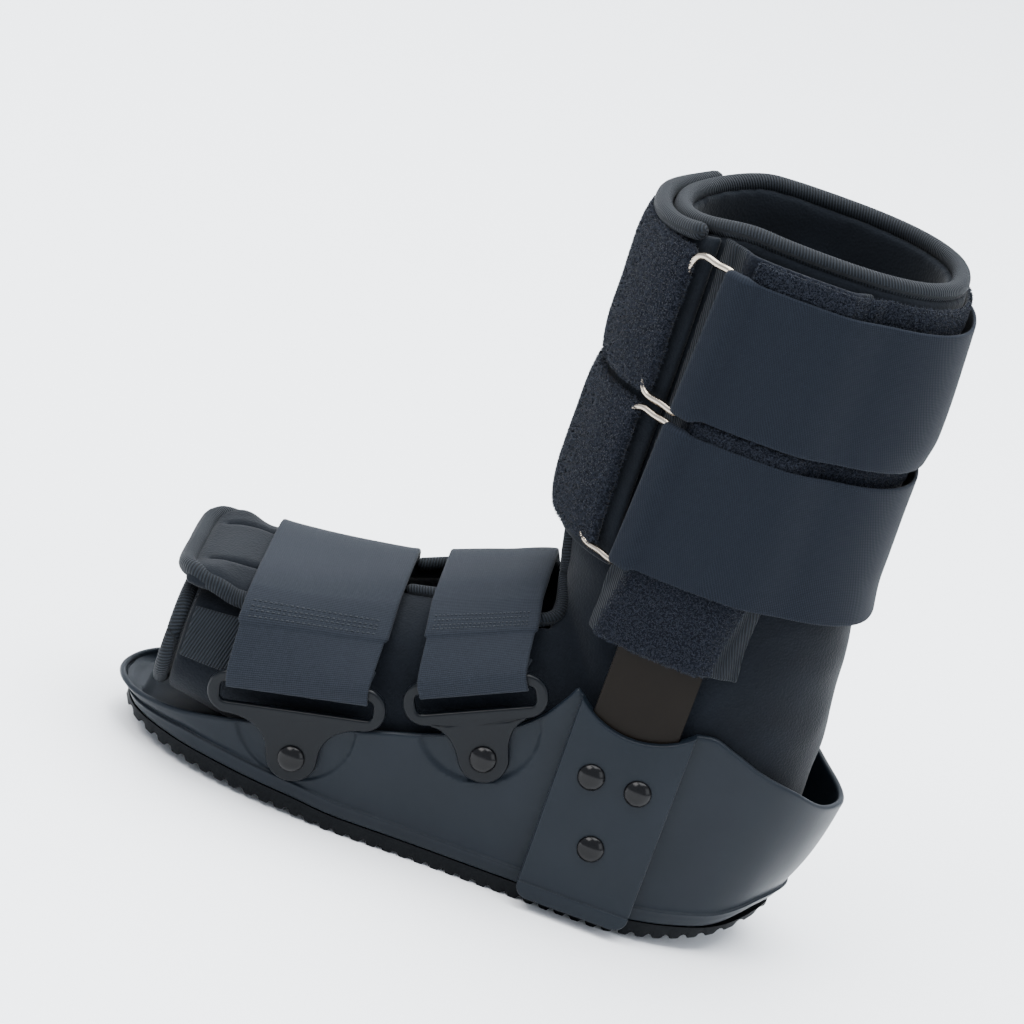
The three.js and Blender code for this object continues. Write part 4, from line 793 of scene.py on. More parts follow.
RUBBER_LOOK = ("sole_rubber", (0.0016, 0.0022, 0.003), 0.62, (900, 3, 0.08, 0.5), (90, 4, 0.5, 0.75))
LOOP_LOOK = ("loop_plastic", (0.0022, 0.003, 0.0042), 0.34, (1800, 2, 0.03, 0.25), (80, 4, 0.24, 0.38))
RIVET_LOOK = ("rivet_black", (0.002, 0.002, 0.0024), 0.2, (500, 2, 0.04, 0.2), (120, 3, 0.12, 0.24))
WIRE_LOOK = ("ring_wire", (0.40, 0.345, 0.28), 0.24, (900, 2, 0.02, 0.2), (200, 3, 0.16, 0.3))
SHELL = shell_material()
RUBBER = plain_material(*RUBBER_LOOK, Specular_IOR_Level=0.1)
LOOP = plain_material(*LOOP_LOOK, Specular_IOR_Level=0.12)
RIVET = plain_material(*RIVET_LOOK, Specular_IOR_Level=0.16)
STRUT = strut_material()
WIRE = plain_material(*WIRE_LOOK, Metallic=1.0)
VELOUR = velour_material()
PILE_CLOTH = pile_material()
LEG_CLOTH = leg_webbing_material()
FOOT_CLOTH = foot_webbing_material()
TAPE = tape_material()
THREAD = thread_material()


# Camera, floor and light


def make_camera():
    rise, roll = math.radians(CAMERA_RISE), math.radians(CAMERA_ROLL)
    back = Vector((0, -math.cos(rise), math.sin(rise)))
    up = Vector((0, math.sin(rise), math.cos(rise)))
    right = Vector((1, 0, 0))
    turned_right = right * math.cos(roll) + up * math.sin(roll)
    turned_up = up * math.cos(roll) - right * math.sin(roll)
    camera = linked("camera", bpy.data.cameras.new("camera"))
    camera.data.lens = CAMERA_LENS
    camera.data.sensor_width = 36
    camera.data.clip_end = 50
    axes = Matrix((turned_right, turned_up, back)).transposed().to_4x4()
    axes.translation = (Vector(CAMERA_TARGET) + back * CAMERA_DISTANCE) * MM
    camera.matrix_world = axes
    bpy.context.scene.camera = camera


def make_stage():
    """A pale floor that turns up into a wall far behind the boot."""
    half, depth, height, bend = 6000, 5000, 5000, 1500
    turn = np.linspace(0, math.pi / 2, 16)
    y = np.concatenate([[-depth], depth - bend + bend * np.sin(turn), [depth]])
    z = np.concatenate([[0], bend - bend * np.cos(turn), [height]])
    points = np.concatenate([stack(-half, y, z), stack(half, y, z)])
    count = len(y)
    faces = [(i, i + 1, count + i + 1, count + i) for i in range(count - 1)]
    paper = Shader("paper", (0.93, 0.945, 0.965), 0.6)
    paper.bump(paper.noise(8, 3), 0.4, 0.1)
    floor = mesh_piece("floor", points, faces, paper.material)


def area_light(name, place, toward, size, watts, color):
    light = bpy.data.lights.new(name, "AREA")
    light.shape = "RECTANGLE"
    light.size, light.size_y = size
    light.energy = watts
    light.color = color
    holder = linked(name, light)
    holder.location = place
    holder.rotation_euler = (Vector(toward) - Vector(place)).to_track_quat("-Z", "Y").to_euler()


def make_lights():
    world = bpy.data.worlds.new("studio")
    world.use_nodes = True
    sky = world.node_tree.nodes["Background"]
    sky.inputs[0].default_value = (0.84, 0.90, 1.0, 1)
    sky.inputs[1].default_value = 1.35
    bpy.context.scene.world = world
    for name, light in LIGHTS.items():
        area_light(name, **light)


make_camera()
make_stage()
make_lights()


# Tub and sole


def rocker(x):
    return rocker_rise(x / SHELL_LENGTH) * ROCKER_HEIGHT


def sole_top(x):
    return rocker(x) + sole_share(x / SHELL_LENGTH) * SOLE_THICKNESS


PANEL_LEFT = STRUT_X - PANEL_WIDTH / 2
PANEL_RIGHT = STRUT_X + PANEL_WIDTH / 2


def panel_top(x):
    """Concave top edge of an upright's panel."""
    half = PANEL_WIDTH / 2
    radius = (half**2 + PANEL_DIP**2) / (2 * PANEL_DIP)
    corner = RIM_HEIGHT * 0.985
    across = np.clip(x - STRUT_X, -half, half)
    return corner - PANEL_DIP + radius - np.sqrt(radius**2 - across**2)


def rim_height(x):
    rim = rim_rise(x / SHELL_LENGTH) * RIM_HEIGHT
    inside = (x > PANEL_LEFT) & (x < PANEL_RIGHT)
    return np.where(inside, np.minimum(panel_top(x), rim), rim)


TUB_STATIONS = 420
near_outline = stack(np.array(OUTLINE["along"]) * SHELL_LENGTH, -np.array(OUTLINE["half"]) * SHELL_WIDTH, 0)
rough_outline = np.concatenate([near_outline, mirrored(near_outline[1:-1])])
whole_outline = through(rough_outline, TUB_STATIONS * 2, closed=True)
near_side = whole_outline[: TUB_STATIONS + 1].copy()
near_side[[0, -1], 1] = 0
side_tangent = unit(np.gradient(near_side, axis=0))
side_inward = np.stack([-side_tangent[:, 1], side_tangent[:, 0], np.zeros(len(near_side))], axis=1)
side_inward[0], side_inward[-1] = (1, 0, 0), (-1, 0, 0)
side_tuck = TUCK * tuck_share(near_side[:, 0] / SHELL_LENGTH)


def half_width_at(x):
    return np.interp(x, near_side[:, 0], -near_side[:, 1])


def tub_ring(height, inset):
    """One closed ring of the tub from arrays of height and inset at its near stations."""
    near = near_side + side_inward * inset[:, None]
    near[:, 2] = height
    return np.concatenate([near, mirrored(near[1:-1])])


def loop_seat(row):
    """The plane that a loop lies in: origin, along, up and out."""
    x = row["rivet_x"]
    rim = float(rim_height(x))
    lean = TUCK * float(tuck_share(x / SHELL_LENGTH)) * 0.4 / (rim - LEDGE_HEIGHT * 2)
    tilt = math.radians(row["tilt"])
    along = unit(np.array([math.cos(tilt), -math.sin(tilt) * lean, math.sin(tilt)]))
    out = unit(np.array([0, -1.0, -lean]))
    out = unit(out - along * out.dot(along))
    up = -np.cross(out, along)
    if up[2] < 0:
        up = -up
    wall_y = -(half_width_at(x) - (rim - row["rivet_z"]) * lean)
    origin = np.array([x, wall_y, row["rivet_z"]]) - out * RECESS_DEPTH
    return origin, along, up, out


def recess(x, z):
    """Depth of the round recesses round the loops at places on the tub's wall."""
    depth = np.zeros(np.broadcast(x, z).shape)
    for row in FOOT_STRAPS.values():
        origin, _, up, _ = loop_seat(row)
        centre = origin + up * RECESS_RADIUS * 0.55
        far = np.hypot(x - centre[0], z - centre[2])
        depth = np.maximum(depth, 1 - smooth(far, RECESS_RADIUS - 1.2, RECESS_RADIUS + 0.3))
    return depth * (RECESS_DEPTH + 0.2)


def tub_profile():
    """Rings from the underside, up the outer wall, over the rim and down inside."""
    x = near_side[:, 0]
    foot, rim = sole_top(x) + GAP, rim_height(x)
    ledge = np.minimum(LEDGE_HEIGHT, 0.45 * (rim - foot))
    rings = [(foot, side_tuck + 1.6), (foot + 0.25, side_tuck + 0.5), (foot + 0.9, side_tuck)]
    for share in (0.3, 0.6, 0.85):
        rings.append((foot + ledge * share, side_tuck - (side_tuck * 0.22 + LEDGE_PROUD) * share))
    top_inset = side_tuck * 0.78 - LEDGE_PROUD
    rings += [(foot + ledge - 0.35, top_inset), (foot + ledge - 0.05, top_inset + 0.15)]
    rings += [(foot + ledge + 0.25, side_tuck * 0.78 - 0.15), (foot + ledge + 0.6, side_tuck * 0.78)]
    low = foot + ledge + 0.6
    for level in np.linspace(0.03, 1, 40):
        z = low + (rim - WALL / 2 - low) * level
        rings.append((z, side_tuck * wall_tuck(level) + recess(x, z)))
    for angle in np.radians([25, 50, 75, 90, 105, 130, 155, 180]):
        rings.append((rim - WALL / 2 * (1 - math.sin(angle)), WALL / 2 * (1 - math.cos(angle))))
    for level in np.linspace(0.97, 0.06, 14):
        z = np.minimum(low + (rim - WALL / 2 - low) * level, rim - 1.4)
        rings.append((z, side_tuck * wall_tuck(level) + WALL))
    rings.append((np.minimum(foot + FLOOR + 1, rim - 2), side_tuck + WALL + 0.4))
    rings.append((np.minimum(foot + FLOOR, rim - 2.2), side_tuck + WALL + 2))
    return [tub_ring(np.broadcast_to(z, x.shape), np.broadcast_to(i, x.shape)) for z, i in rings]


def across_cap(faces, uvs, start, count, flip):
    """Closes a mirrored ring with strips from one side to the other."""
    for i in range(count // 2):
        a, b = i, i + 1
        c, d = (count - i - 1) % count, (count - i) % count
        ring = list(dict.fromkeys([start + a, start + b, start + c, start + d]))
        if len(ring) > 2:
            faces.append(tuple(ring if flip else ring[::-1]))
            uvs += [(0, 0)] * len(ring)


def arc(cx, cy, radius, start, end, count):
    turn = np.radians(np.linspace(start, end, count))
    return [(cx + radius * math.cos(a), cy + radius * math.sin(a)) for a in turn]


def panel_outline():
    """Outline of the upright's panel in x and z, with round lower corners and a concave top."""
    left = PANEL_LEFT + 1 + PANEL_CORNER
    right = PANEL_RIGHT - PANEL_CORNER
    low = PANEL_FOOT + PANEL_CORNER
    foot = arc(left, low, PANEL_CORNER, 180, 270, 8) + arc(right, low, PANEL_CORNER, 270, 360, 8)
    top = [(x, float(panel_top(x))) for x in np.linspace(PANEL_RIGHT, PANEL_LEFT, 25)]
    return foot + top


def ledge_outline():
    """The band along the foot of an upright's panel."""
    foot = [(x, z) for x, z in panel_outline() if z < PANEL_FOOT + LEDGE_HEIGHT]
    return [*foot, (PANEL_RIGHT, PANEL_FOOT + LEDGE_HEIGHT), (PANEL_LEFT + 1, PANEL_FOOT + LEDGE_HEIGHT)]


def make_tub():
    rings = tub_profile()
    points, faces, uvs = loft_data(rings, caps=False)
    count = len(rings[0])
    across_cap(faces, uvs, 0, count, True)
    across_cap(faces, uvs, (len(rings) - 1) * count, count, False)
    return mesh_piece("shell_look", points, faces, SHELL, uvs)


def panel_plates():
    """The panels over the uprights and the bands along their feet, for both sides."""
    back = SHELL_WIDTH * PANEL_BACK_SHARE
    depth = PANEL_FACE - back
    middle = -(PANEL_FACE + back) / 2
    upright = Matrix(((1, 0, 0, 0), (0, 0, -1, middle * MM), (0, 1, 0, 0), (0, 0, 0, 1)))
    panel = drawn("panel", [panel_outline()], depth, 0.8, upright, SHELL)
    far_panel = mirror_of(panel, "panel_far")
    ledge = drawn("panel_ledge", [ledge_outline()], depth + LEDGE_PROUD * 2, 0.6, upright, SHELL)
    return panel, far_panel, ledge, mirror_of(ledge, "panel_ledge_far")


def make_shell():
    shell = make_tub()
    for plate in panel_plates():
        cut(shell, plate, "UNION")
    half = STRUT_WIDTH / 2 + POCKET_PLAY
    left, right = STRUT_X - half, STRUT_X + half
    pocket = [(left, POCKET_LOW), (right, POCKET_LOW), (right, POCKET_TOP), (left, POCKET_TOP)]
    inner, outer = PANEL_FACE - PANEL_WALL, SHELL_WIDTH * POCKET_BACK_SHARE
    for sign in (-1, 1):
        cut(shell, prism(pocket, sign * inner, sign * outer))
    soften(shell, 32)
    keep(shell, "shell")
    return shell


def make_sole():
    """The ribbed sole, one section for each place along it."""
    ribs = np.arange(-21, 21)
    x = ((ribs[:, None] - RIB_START) + np.array(RIB["step"])).ravel() * RIB_PITCH
    depth = np.tile(RIB["drop"], len(ribs))
    inset = side_tuck + SOLE_INSET
    edge = near_side + side_inward * inset[:, None]
    edge = edge[np.argsort(edge[:, 0])]
    inside = (x > edge[0, 0] + 0.4) & (x < edge[-1, 0] - 0.4)
    x, depth = x[inside], depth[inside]
    half = np.interp(x, edge[:, 0], -edge[:, 1])
    bottom = rocker(x) + depth * RIB_DEPTH * smooth(half, 4, 12)
    top = sole_top(x) - 0.05
    rings = []
    for sx, h, b, t in zip(x, half, bottom, top):
        across = np.array([-h, -h, -h + 0.5, -h * 0.5, 0, h * 0.5, h - 0.5, h, h, 0])
        up = np.array([t, min(b + 0.6, t - 0.1), b, b, b, b, b, min(b + 0.6, t - 0.1), t, t])
        rings.append(stack(sx, across, up))
    sole = loft("outsole_look", rings, RUBBER)
    soften(sole, 50)
    keep(sole, "outsole")


# Rivets and loops


def dome(name, origin, right, up, out):
    """A domed rivet head."""
    angles = full_turn(32)
    circle = np.cos(angles)[:, None] * right + np.sin(angles)[:, None] * up
    levels = zip(DOME["share"], DOME["height"])
    return loft(name, [origin + circle * RIVET_HEAD / 2 * s + out * h for s, h in levels], RIVET)


def make_rivets():
    x_axis, z_axis = np.array([1.0, 0, 0]), np.array([0, 0, 1.0])
    for name, (x, z) in RIVETS.items():
        for side, sign in (("left", -1), ("right", 1)):
            origin = np.array([x, sign * (PANEL_FACE + GAP), z])
            out = np.array([0, sign, 0.0])
            piece = dome(f"strut_rivet_{name}_{side}_look", origin, x_axis, z_axis, out)
            keep(piece, f"strut_rivet_{name}_{side}")
    for name, row in FOOT_STRAPS.items():
        origin, along, up, out = loop_seat(row)
        origin = origin + out * (LOOP_PLATE + LOOP_RIVET_LIFT)
        left = dome(f"{name}_loop_rivet_left_look", origin, along, up, out)
        keep_pair(left, f"{name}_loop_rivet")


def bend(p0, p1, p2, count=10):
    """Points along a quadratic curve, without its first."""
    t = np.linspace(0, 1, count + 1)[1:, None]
    p0, p1, p2 = map(np.array, (p0, p1, p2))
    return [tuple(p) for p in p0 * (1 - t) ** 2 + 2 * p1 * t * (1 - t) + p2 * t**2]


def loop_outline(width):
    half = width / 2 + SLOT_SPARE + LOOP_RIM
    low, high = LOOP_REACH - LOOP_RIM, LOOP_REACH + SLOT_HEIGHT + LOOP_RIM
    r = (high - low) * 0.48
    boss = LOOP_BOSS
    points = arc(0, 0, boss, 183.6, 356.4, 24)
    points += bend(points[-1], (boss * 1.05, low * 0.86), (half * 0.72, low))
    points += arc(half - r, low + r, r, -90, 0, 8) + arc(half - r, high - r, r, 0, 90, 8)
    points += arc(-half + r, high - r, r, 90, 180, 8) + arc(-half + r, low + r, r, 180, 270, 8)
    points.append((-half * 0.72, low))
    points += bend(points[-1], (-boss * 1.05, low * 0.86), points[0])[:-1]
    return points


def slot_outline(width):
    half, r = width / 2 + SLOT_SPARE, SLOT_HEIGHT * 0.28
    low, high = LOOP_REACH, LOOP_REACH + SLOT_HEIGHT
    points = arc(half - r, low + r, r, -90, 0, 6) + arc(half - r, high - r, r, 0, 90, 6)
    return points + arc(-half + r, high - r, r, 90, 180, 6) + arc(-half + r, low + r, r, 180, 270, 6)


def make_loops():
    for name, row in FOOT_STRAPS.items():
        origin, along, up, out = loop_seat(row)
        centre = origin + out * (GAP + LOOP_PLATE / 2)
        place = Matrix([[*map(float, column)] for column in zip(along, up, out)]).to_4x4()
        place.translation = Vector(centre) * MM
        outlines = [loop_outline(row["width"]), slot_outline(row["width"])]
        left = drawn(f"{name}_loop_left_look", outlines, LOOP_PLATE, 1.1, place, LOOP, steps=4)
        keep_pair(left, f"{name}_loop")


# Bootie


def squared(value, power):
    return np.sign(value) * np.abs(value) ** (2 / power)


def leg_sizes(z):
    rise = (z - LEG_LOW) / (LEG_TOP - LEG_LOW)
    return LEG_DEPTH * leg_front(rise), LEG_DEPTH * leg_back(rise), LEG_WIDTH * leg_side(rise)


def leg_point(angle, z, offset):
    """A place on the leg: angle 0 is the heel side, -90 degrees the -Y side, 180 the shin."""
    front, back, half = leg_sizes(z)
    reach = (back + front) / 2 + offset
    x = LEG_AXIS_X + (back - front) / 2 + reach * squared(np.cos(angle), LEG_SQUARE)
    return stack(x, (half + offset) * squared(np.sin(angle), LEG_SQUARE), z)


def angle_at(x, z):
    """The angle on the -Y side at which the leg passes a place along the boot."""
    front, back, _ = leg_sizes(z)
    share = np.clip((x - LEG_AXIS_X - (back - front) / 2) / ((back + front) / 2), -1, 1)
    return -np.arccos(np.sign(share) * np.abs(share) ** (LEG_SQUARE / 2))


def foot_sizes(x):
    along = (x - FOOT_FRONT) / FOOT_LENGTH
    low = sole_top(x) + GAP * 2 + FLOOR + FOOT_HEIGHT * foot_lift(along)
    high = sole_top(0) + GAP + FLOOR + FOOT_HEIGHT * foot_top(along)
    return along, low, high, FOOT_WIDTH * foot_side(along)


def foot_point(angle, x, offset):
    """A place on the foot: angle 90 degrees is the instep, -90 the sole, 180 the -Y side."""
    held = np.maximum(x, FOOT_FRONT)
    along, low, high, half = foot_sizes(held)
    half = half + offset
    tall = (high - low) / 2 + offset
    power = np.where(np.sin(angle) > 0, foot_square(along), FOOT_ROUND)
    z = (high + low) / 2 + tall * squared(np.sin(angle), power)
    return stack(x, half * squared(np.cos(angle), power), z)


def instep_height(x, half):
    along, low, high, side = foot_sizes(x)
    share = np.minimum(half / side, 1)
    power = foot_square(along)
    return (high + low) / 2 + (high - low) / 2 * (1 - share**power) ** (1 / power)


def top_at(x):
    """Height of the bootie's top edge, which dips over the shin."""
    return LEG_TOP - TOP_DIP * (1 - smooth(x, -TOP_DIP_LENGTH * 0.1, TOP_DIP_LENGTH * 1.1))


def dip_solid():
    x = np.linspace(-TOP_DIP_LENGTH, TOP_DIP_LENGTH * 1.2, 40)
    above = LEG_TOP + TOP_DIP
    return prism([*zip(x, top_at(x) + TOP_SEAM), (x[-1], above), (x[0], above)], -SHELL_WIDTH, SHELL_WIDTH)


def solid_along(point, offset, start, end, count):
    """A solid from the leg's or the foot's sections between two places."""
    angles = full_turn(TUBE_SIDES)
    places = np.linspace(start, end, count)
    return loft("tube", [point(angles, place, offset) for place in places], None)


def leg_solid(offset, low, high):
    return solid_along(leg_point, offset, low, high, 60)


def foot_solid(offset, front, back):
    return solid_along(foot_point, offset, front, back, 70)


def window_solid():
    share = np.linspace(0, 1, 30)
    length = WINDOW_BACK - WINDOW_FRONT
    x = WINDOW_FRONT + share * length
    half = WINDOW_HALF * window_half(share)
    plan = np.concatenate([stack(x, -half), stack(x, half)[::-1]])
    upright = loft("window", [stack(plan[:, 0], plan[:, 1], z) for z in (WINDOW_LOW, WINDOW_TOP)], None)
    z = WINDOW_LOW + share * (WINDOW_TOP - WINDOW_LOW)
    front, back = WINDOW_FRONT - 1, WINDOW_BACK - length * window_draw(share)
    side = [(front, WINDOW_LOW), *zip(back, z), (front, WINDOW_TOP)]
    return cut(upright, prism(side, -WINDOW_HALF * 2, WINDOW_HALF * 2), "INTERSECT")


def largest_part(piece):
    """Removes all but the largest separate part."""
    work = bmesh.new()
    work.from_mesh(piece.data)
    left, parts = set(work.verts), []
    while left:
        todo, part = [left.pop()], []
        while todo:
            vert = todo.pop()
            part.append(vert)
            for edge in vert.link_edges:
                other = edge.other_vert(vert)
                if other in left:
                    left.remove(other)
                    todo.append(other)
        parts.append(part)
    parts.sort(key=len)
    for part in parts[:-1]:
        bmesh.ops.delete(work, geom=part, context="VERTS")
    work.to_mesh(piece.data)
    work.free()


def make_liner(shell):
    liner = leg_solid(0, LEG_LOW, LEG_TOP + TOP_SEAM)
    cut(liner, foot_solid(0, FOOT_FRONT, FOOT_FRONT + FOOT_LENGTH), "UNION")
    cut(liner, leg_solid(-LEG_WALL, 62, LEG_TOP + 8))
    cut(liner, foot_solid(-FOOT_WALL, FOOT_FRONT - 6, 100))
    cut(liner, window_solid())
    cut(liner, dip_solid())
    cut(liner, linked("tub", shell.data.copy()))
    largest_part(liner)
    make_even(liner)
    liner.name = "liner_look"
    ruffle(liner)
    dress(liner, VELOUR)
    liner.data.shade_smooth()
    keep(liner, "liner")


def make_even(liner):
    """Small even faces in place of the cut ones, with eased edges."""
    blocks = liner.modifiers.new("even", "REMESH")
    blocks.mode = "VOXEL"
    blocks.voxel_size = 1.75 * MM
    ease = liner.modifiers.new("ease", "SMOOTH")
    ease.factor, ease.iterations = 0.5, 6
    bpy.context.view_layer.update()
    baked(liner)


def ruffle(liner):
    """Soft folds of the padded cloth, strongest round the ankle."""
    mesh = liner.data
    count = len(mesh.vertices)
    places, normals = np.zeros(count * 3), np.zeros(count * 3)
    mesh.vertices.foreach_get("co", places)
    mesh.vertices.foreach_get("normal", normals)
    places, normals = places.reshape(-1, 3) / MM, normals.reshape(-1, 3)
    x, y, z = places.T
    folds = wave(x, y, z * 1.7, 3, 24) * 0.7 + wave(x, y, z, 5, 9) * 0.18
    ankle = np.exp(-(((z - ANKLE_HEIGHT) / ANKLE_SPREAD) ** 2)) * smooth(x, -12, 12)
    creases = np.sin((z + 0.45 * x) / FOLD_PITCH + wave(x, y, z, 8, 30) * 2.4) * 0.55 * ankle
    away = 1 - smooth(np.abs(z - top_at(x)), 5, 0)
    places += normals * ((folds + creases) * away * FOLD_DEPTH)[:, None]
    mesh.vertices.foreach_set("co", (places * MM).ravel())
    mesh.update()


def make_trims():
    ring = full_turn(160)
    top = leg_point(ring, LEG_TOP, -LEG_WALL * 0.45)
    top[:, 2] = top_at(top[:, 0]) + TRIM / 2 + GAP + 0.3 * np.sin(ring * 2 + 0.6)
    keep_trim("top_trim", top, TRIM, closed=True, sides=18)
    front = foot_point(ring, np.full(ring.shape, float(FOOT_FRONT)), -FOOT_WALL * 0.45)
    front[:, 0] = FOOT_FRONT - TOE_TRIM / 2 - GAP
    course = evenly(np.concatenate([front, front[:1]]), 150, closed=True)
    keep_trim("toe_trim", course, TOE_TRIM, closed=True, sides=16)
    edge = float(angle_at(SHIN_FLAP_EDGE_X - TRIM, LEG_TOP))
    angles = np.linspace(-edge, 2 * math.pi + edge, 90)
    path = leg_point(angles, LEG_TOP, GAP + TRIM / 2)
    path[:, 2] = top_at(path[:, 0]) + GAP + TRIM / 2
    keep_trim("shin_flap_trim", path, TRIM, sides=18)


def binding_path():
    length = WINDOW_BACK - WINDOW_FRONT
    points = []
    for share in (0.12, 0.26, 0.42, 0.58, 0.72, 0.86):
        x, half = WINDOW_FRONT + share * length, WINDOW_HALF * float(window_half(share))
        points.append((x, -half, float(instep_height(x, half))))
    half = WINDOW_HALF * 0.84
    points.append((WINDOW_BACK, -half, float(instep_height(WINDOW_BACK, half))))
    for share in (0.7, 0.82, 0.94):
        x = WINDOW_BACK - length * float(window_draw(share))
        z = WINDOW_LOW + share * (WINDOW_TOP - WINDOW_LOW)
        points.append(tuple(leg_point(angle_at(x, z), z, 0)))
    return through(points, 90)


def make_bindings():
    left = tube("instep_binding_left_look", binding_path(), BINDING / 2, TAPE, sides=16)
    keep_pair(left, "instep_binding")


def flap_rise(share, from_crown):
    """How far the flap's sides stand off the foot toward its front."""
    return FLAP_RISE * smooth(from_crown, 8, 38) * (1 - smooth(share, 0.1, 0.3))


def make_toe_flap():
    """A padded flap in three lobes, with two creases that run along the foot."""
    angles = np.radians(np.linspace(FLAP_EDGE, 180 - FLAP_EDGE, 60))
    share = np.linspace(0.02, 1, 80)
    a, s = np.meshgrid(angles, share, indexing="ij")
    xs = FLAP_FRONT + s * FLAP_LENGTH
    thick = FLAP_THICKNESS * flap_thick(s)
    from_crown = np.abs(np.degrees(a) - 90)
    crease = np.exp(-(((from_crown - FLAP_CREASE) / FLAP_CREASE_WIDTH) ** 2)) * smooth(s, 0.04, 0.12)
    across = (a - math.pi / 2) / math.radians(90 - FLAP_EDGE)
    thick = thick * (1 - 0.5 * crease) * (1 - 0.25 * np.abs(across) ** 3)
    thick = thick + FLAP_WAVES * wave(xs, across * 30, 0 * s, 11, 12) * smooth(s, 0, 0.1)
    middle = foot_point(a, xs, GAP * 2 + thick / 2)
    middle[..., 2] += flap_rise(s, from_crown)
    piece = sheet_piece("toe_flap_look", middle, thick * 0.98, VELOUR, edge_points=5)
    keep(piece, "toe_flap")


def make_flap_trim():
    offset = GAP * 2 + TRIM / 2
    angles = 180 - FLAP_EDGE - np.array(FLAP_TRIM["turn"])
    ahead = np.array(FLAP_TRIM["ahead"])
    near = foot_point(np.radians(angles), FLAP_FRONT + ahead * FLAP_LENGTH, offset)
    near[:, 2] += flap_rise(ahead, angles - 90)
    course = through(np.concatenate([near, mirrored(near)]), 150)
    keep_trim("toe_flap_trim", course, TRIM, sides=18)


def make_toe_patches():
    front = FOOT_FRONT + TOE_TRIM * 0.4
    angles = np.radians(np.linspace(150, 180, 16))
    x = np.linspace(front, front + PATCH_LENGTH, 40)
    a, xs = np.meshgrid(angles, x, indexing="ij")
    middle = foot_point(a, xs, GAP + PATCH / 2)
    left = sheet_piece("toe_patch_left_look", middle, PATCH, TAPE, edge_points=3)
    for piece in keep_pair(left, "toe_patch"):
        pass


# Straps round the leg

SLEEVE_LIFT = PANEL_FACE - PANEL_WALL - GAP - LEG_WIDTH / 2 + STRUT_COVER


def sleeve_lift(x):
    """How far a sleeve lifts what lies over it."""
    over = np.abs(x - STRUT_X)
    ridge = 1 - smooth(over, STRUT_WIDTH / 2 - 1, STRUT_WIDTH / 2 + 8)
    return STRAP_LIFT * (1 - smooth(over, 24, 30)) + (SLEEVE_LIFT - STRAP_LIFT) * ridge


def leg_grid(start, end, low, high, steps_along, steps_across):
    angles = np.linspace(start, end, steps_along)
    line = leg_point(angles, (low + high) / 2, 0)
    shares = lengths(line) / lengths(line)[-1]
    angles = np.interp(np.linspace(0, 1, steps_along), shares, angles)
    heights = np.linspace(low, high, steps_across)
    return np.meshgrid(heights, angles, indexing="ij")


def webbing_lift(angles, heights):
    over = np.abs(leg_point(angles, heights, 0)[..., 0] - STRUT_X)
    taut = 1 - smooth(over, STRUT_WIDTH / 2 - 2, STRUT_WIDTH / 2 + 17)
    return STRAP_LIFT + (SLEEVE_LIFT - STRAP_LIFT) * taut + PILE + 2 * GAP


def lean(z, slope):
    """How far back a front edge of the leg straps lies at a height."""
    return slope * (z - LEG_STRAPS["lower"]["low"])


def leaning(angles, z, front_x):
    """The angles of a strap that starts at front_x, drawn back with height on both sides."""
    start = angle_at(front_x + lean(z, WEBBING_LEAN), z)
    return angles * start / angles.min()


def make_leg_straps():
    ring_right, ring_left = RING_X + RING_SPAN / 2, RING_X - RING_SPAN / 2
    strap_end = RING_WIRE / 2 + GAP + 0.7
    for seed, (name, row) in enumerate(LEG_STRAPS.items()):
        make_webbing(name, row, ring_right - strap_end, seed)
        make_calf_pile(name, row, ring_right - strap_end, seed)
        make_shin_strap(name, row, ring_left + strap_end, seed)
        make_ring(name, row, ring_left, ring_right)


def make_webbing(name, row, front_x, seed):
    """The webbing round the back of the leg, thicker where it is folded at its ring."""
    low, high = row["low"], row["high"]
    edge = float(angle_at(front_x, (low + high) / 2))
    z, a = leg_grid(edge, -edge, low, high, *WEBBING_STEPS)
    a = leaning(a, z, front_x)
    from_front = a - a.min(axis=1, keepdims=True)
    fold = FOLD * (1 - smooth(from_front, FOLD_START, FOLD_END))
    thick = WEBBING + np.maximum(fold - WEBBING, 0)
    slack = 0.35 * wave(a * 40, z, 0 * z, 20 + seed, 26)
    grid = leg_point(a, z, webbing_lift(a, z) + thick / 2 + 0.25 + slack)
    piece = sheet_piece(f"calf_webbing_{name}_look", grid, thick, LEG_CLOTH, edge_points=3)
    keep(piece, f"calf_webbing_{name}")


def make_calf_pile(name, row, front_x, seed):
    """The pile strip under the webbing, which shows above it."""
    low, high = row["low"], row["high"]
    edge = float(angle_at(front_x, (low + high) / 2))
    z, a = leg_grid(edge, -edge, low, high + row["pile_over"], *PILE_STEPS)
    a = leaning(a, z, front_x + PILE_BACK)
    grid = leg_point(a, z, sleeve_lift(leg_point(a, z, 0)[..., 0]) + GAP + PILE / 2)
    pile = sheet_piece(f"calf_pile_{name}_look", grid, PILE, PILE_CLOTH, edge_points=3)
    keep(pile, f"calf_pile_{name}")

    def above_webbing(places):
        return places[:, 2] > high - 1

    add_fuzz(pile, f"calf_pile_{name}_fuzz", 6, 0.9, 60 + seed, above_webbing)


def shin_angles(from_x, to_x, z):
    return -float(angle_at(to_x, z)), float(angle_at(from_x, z)) + 2 * math.pi


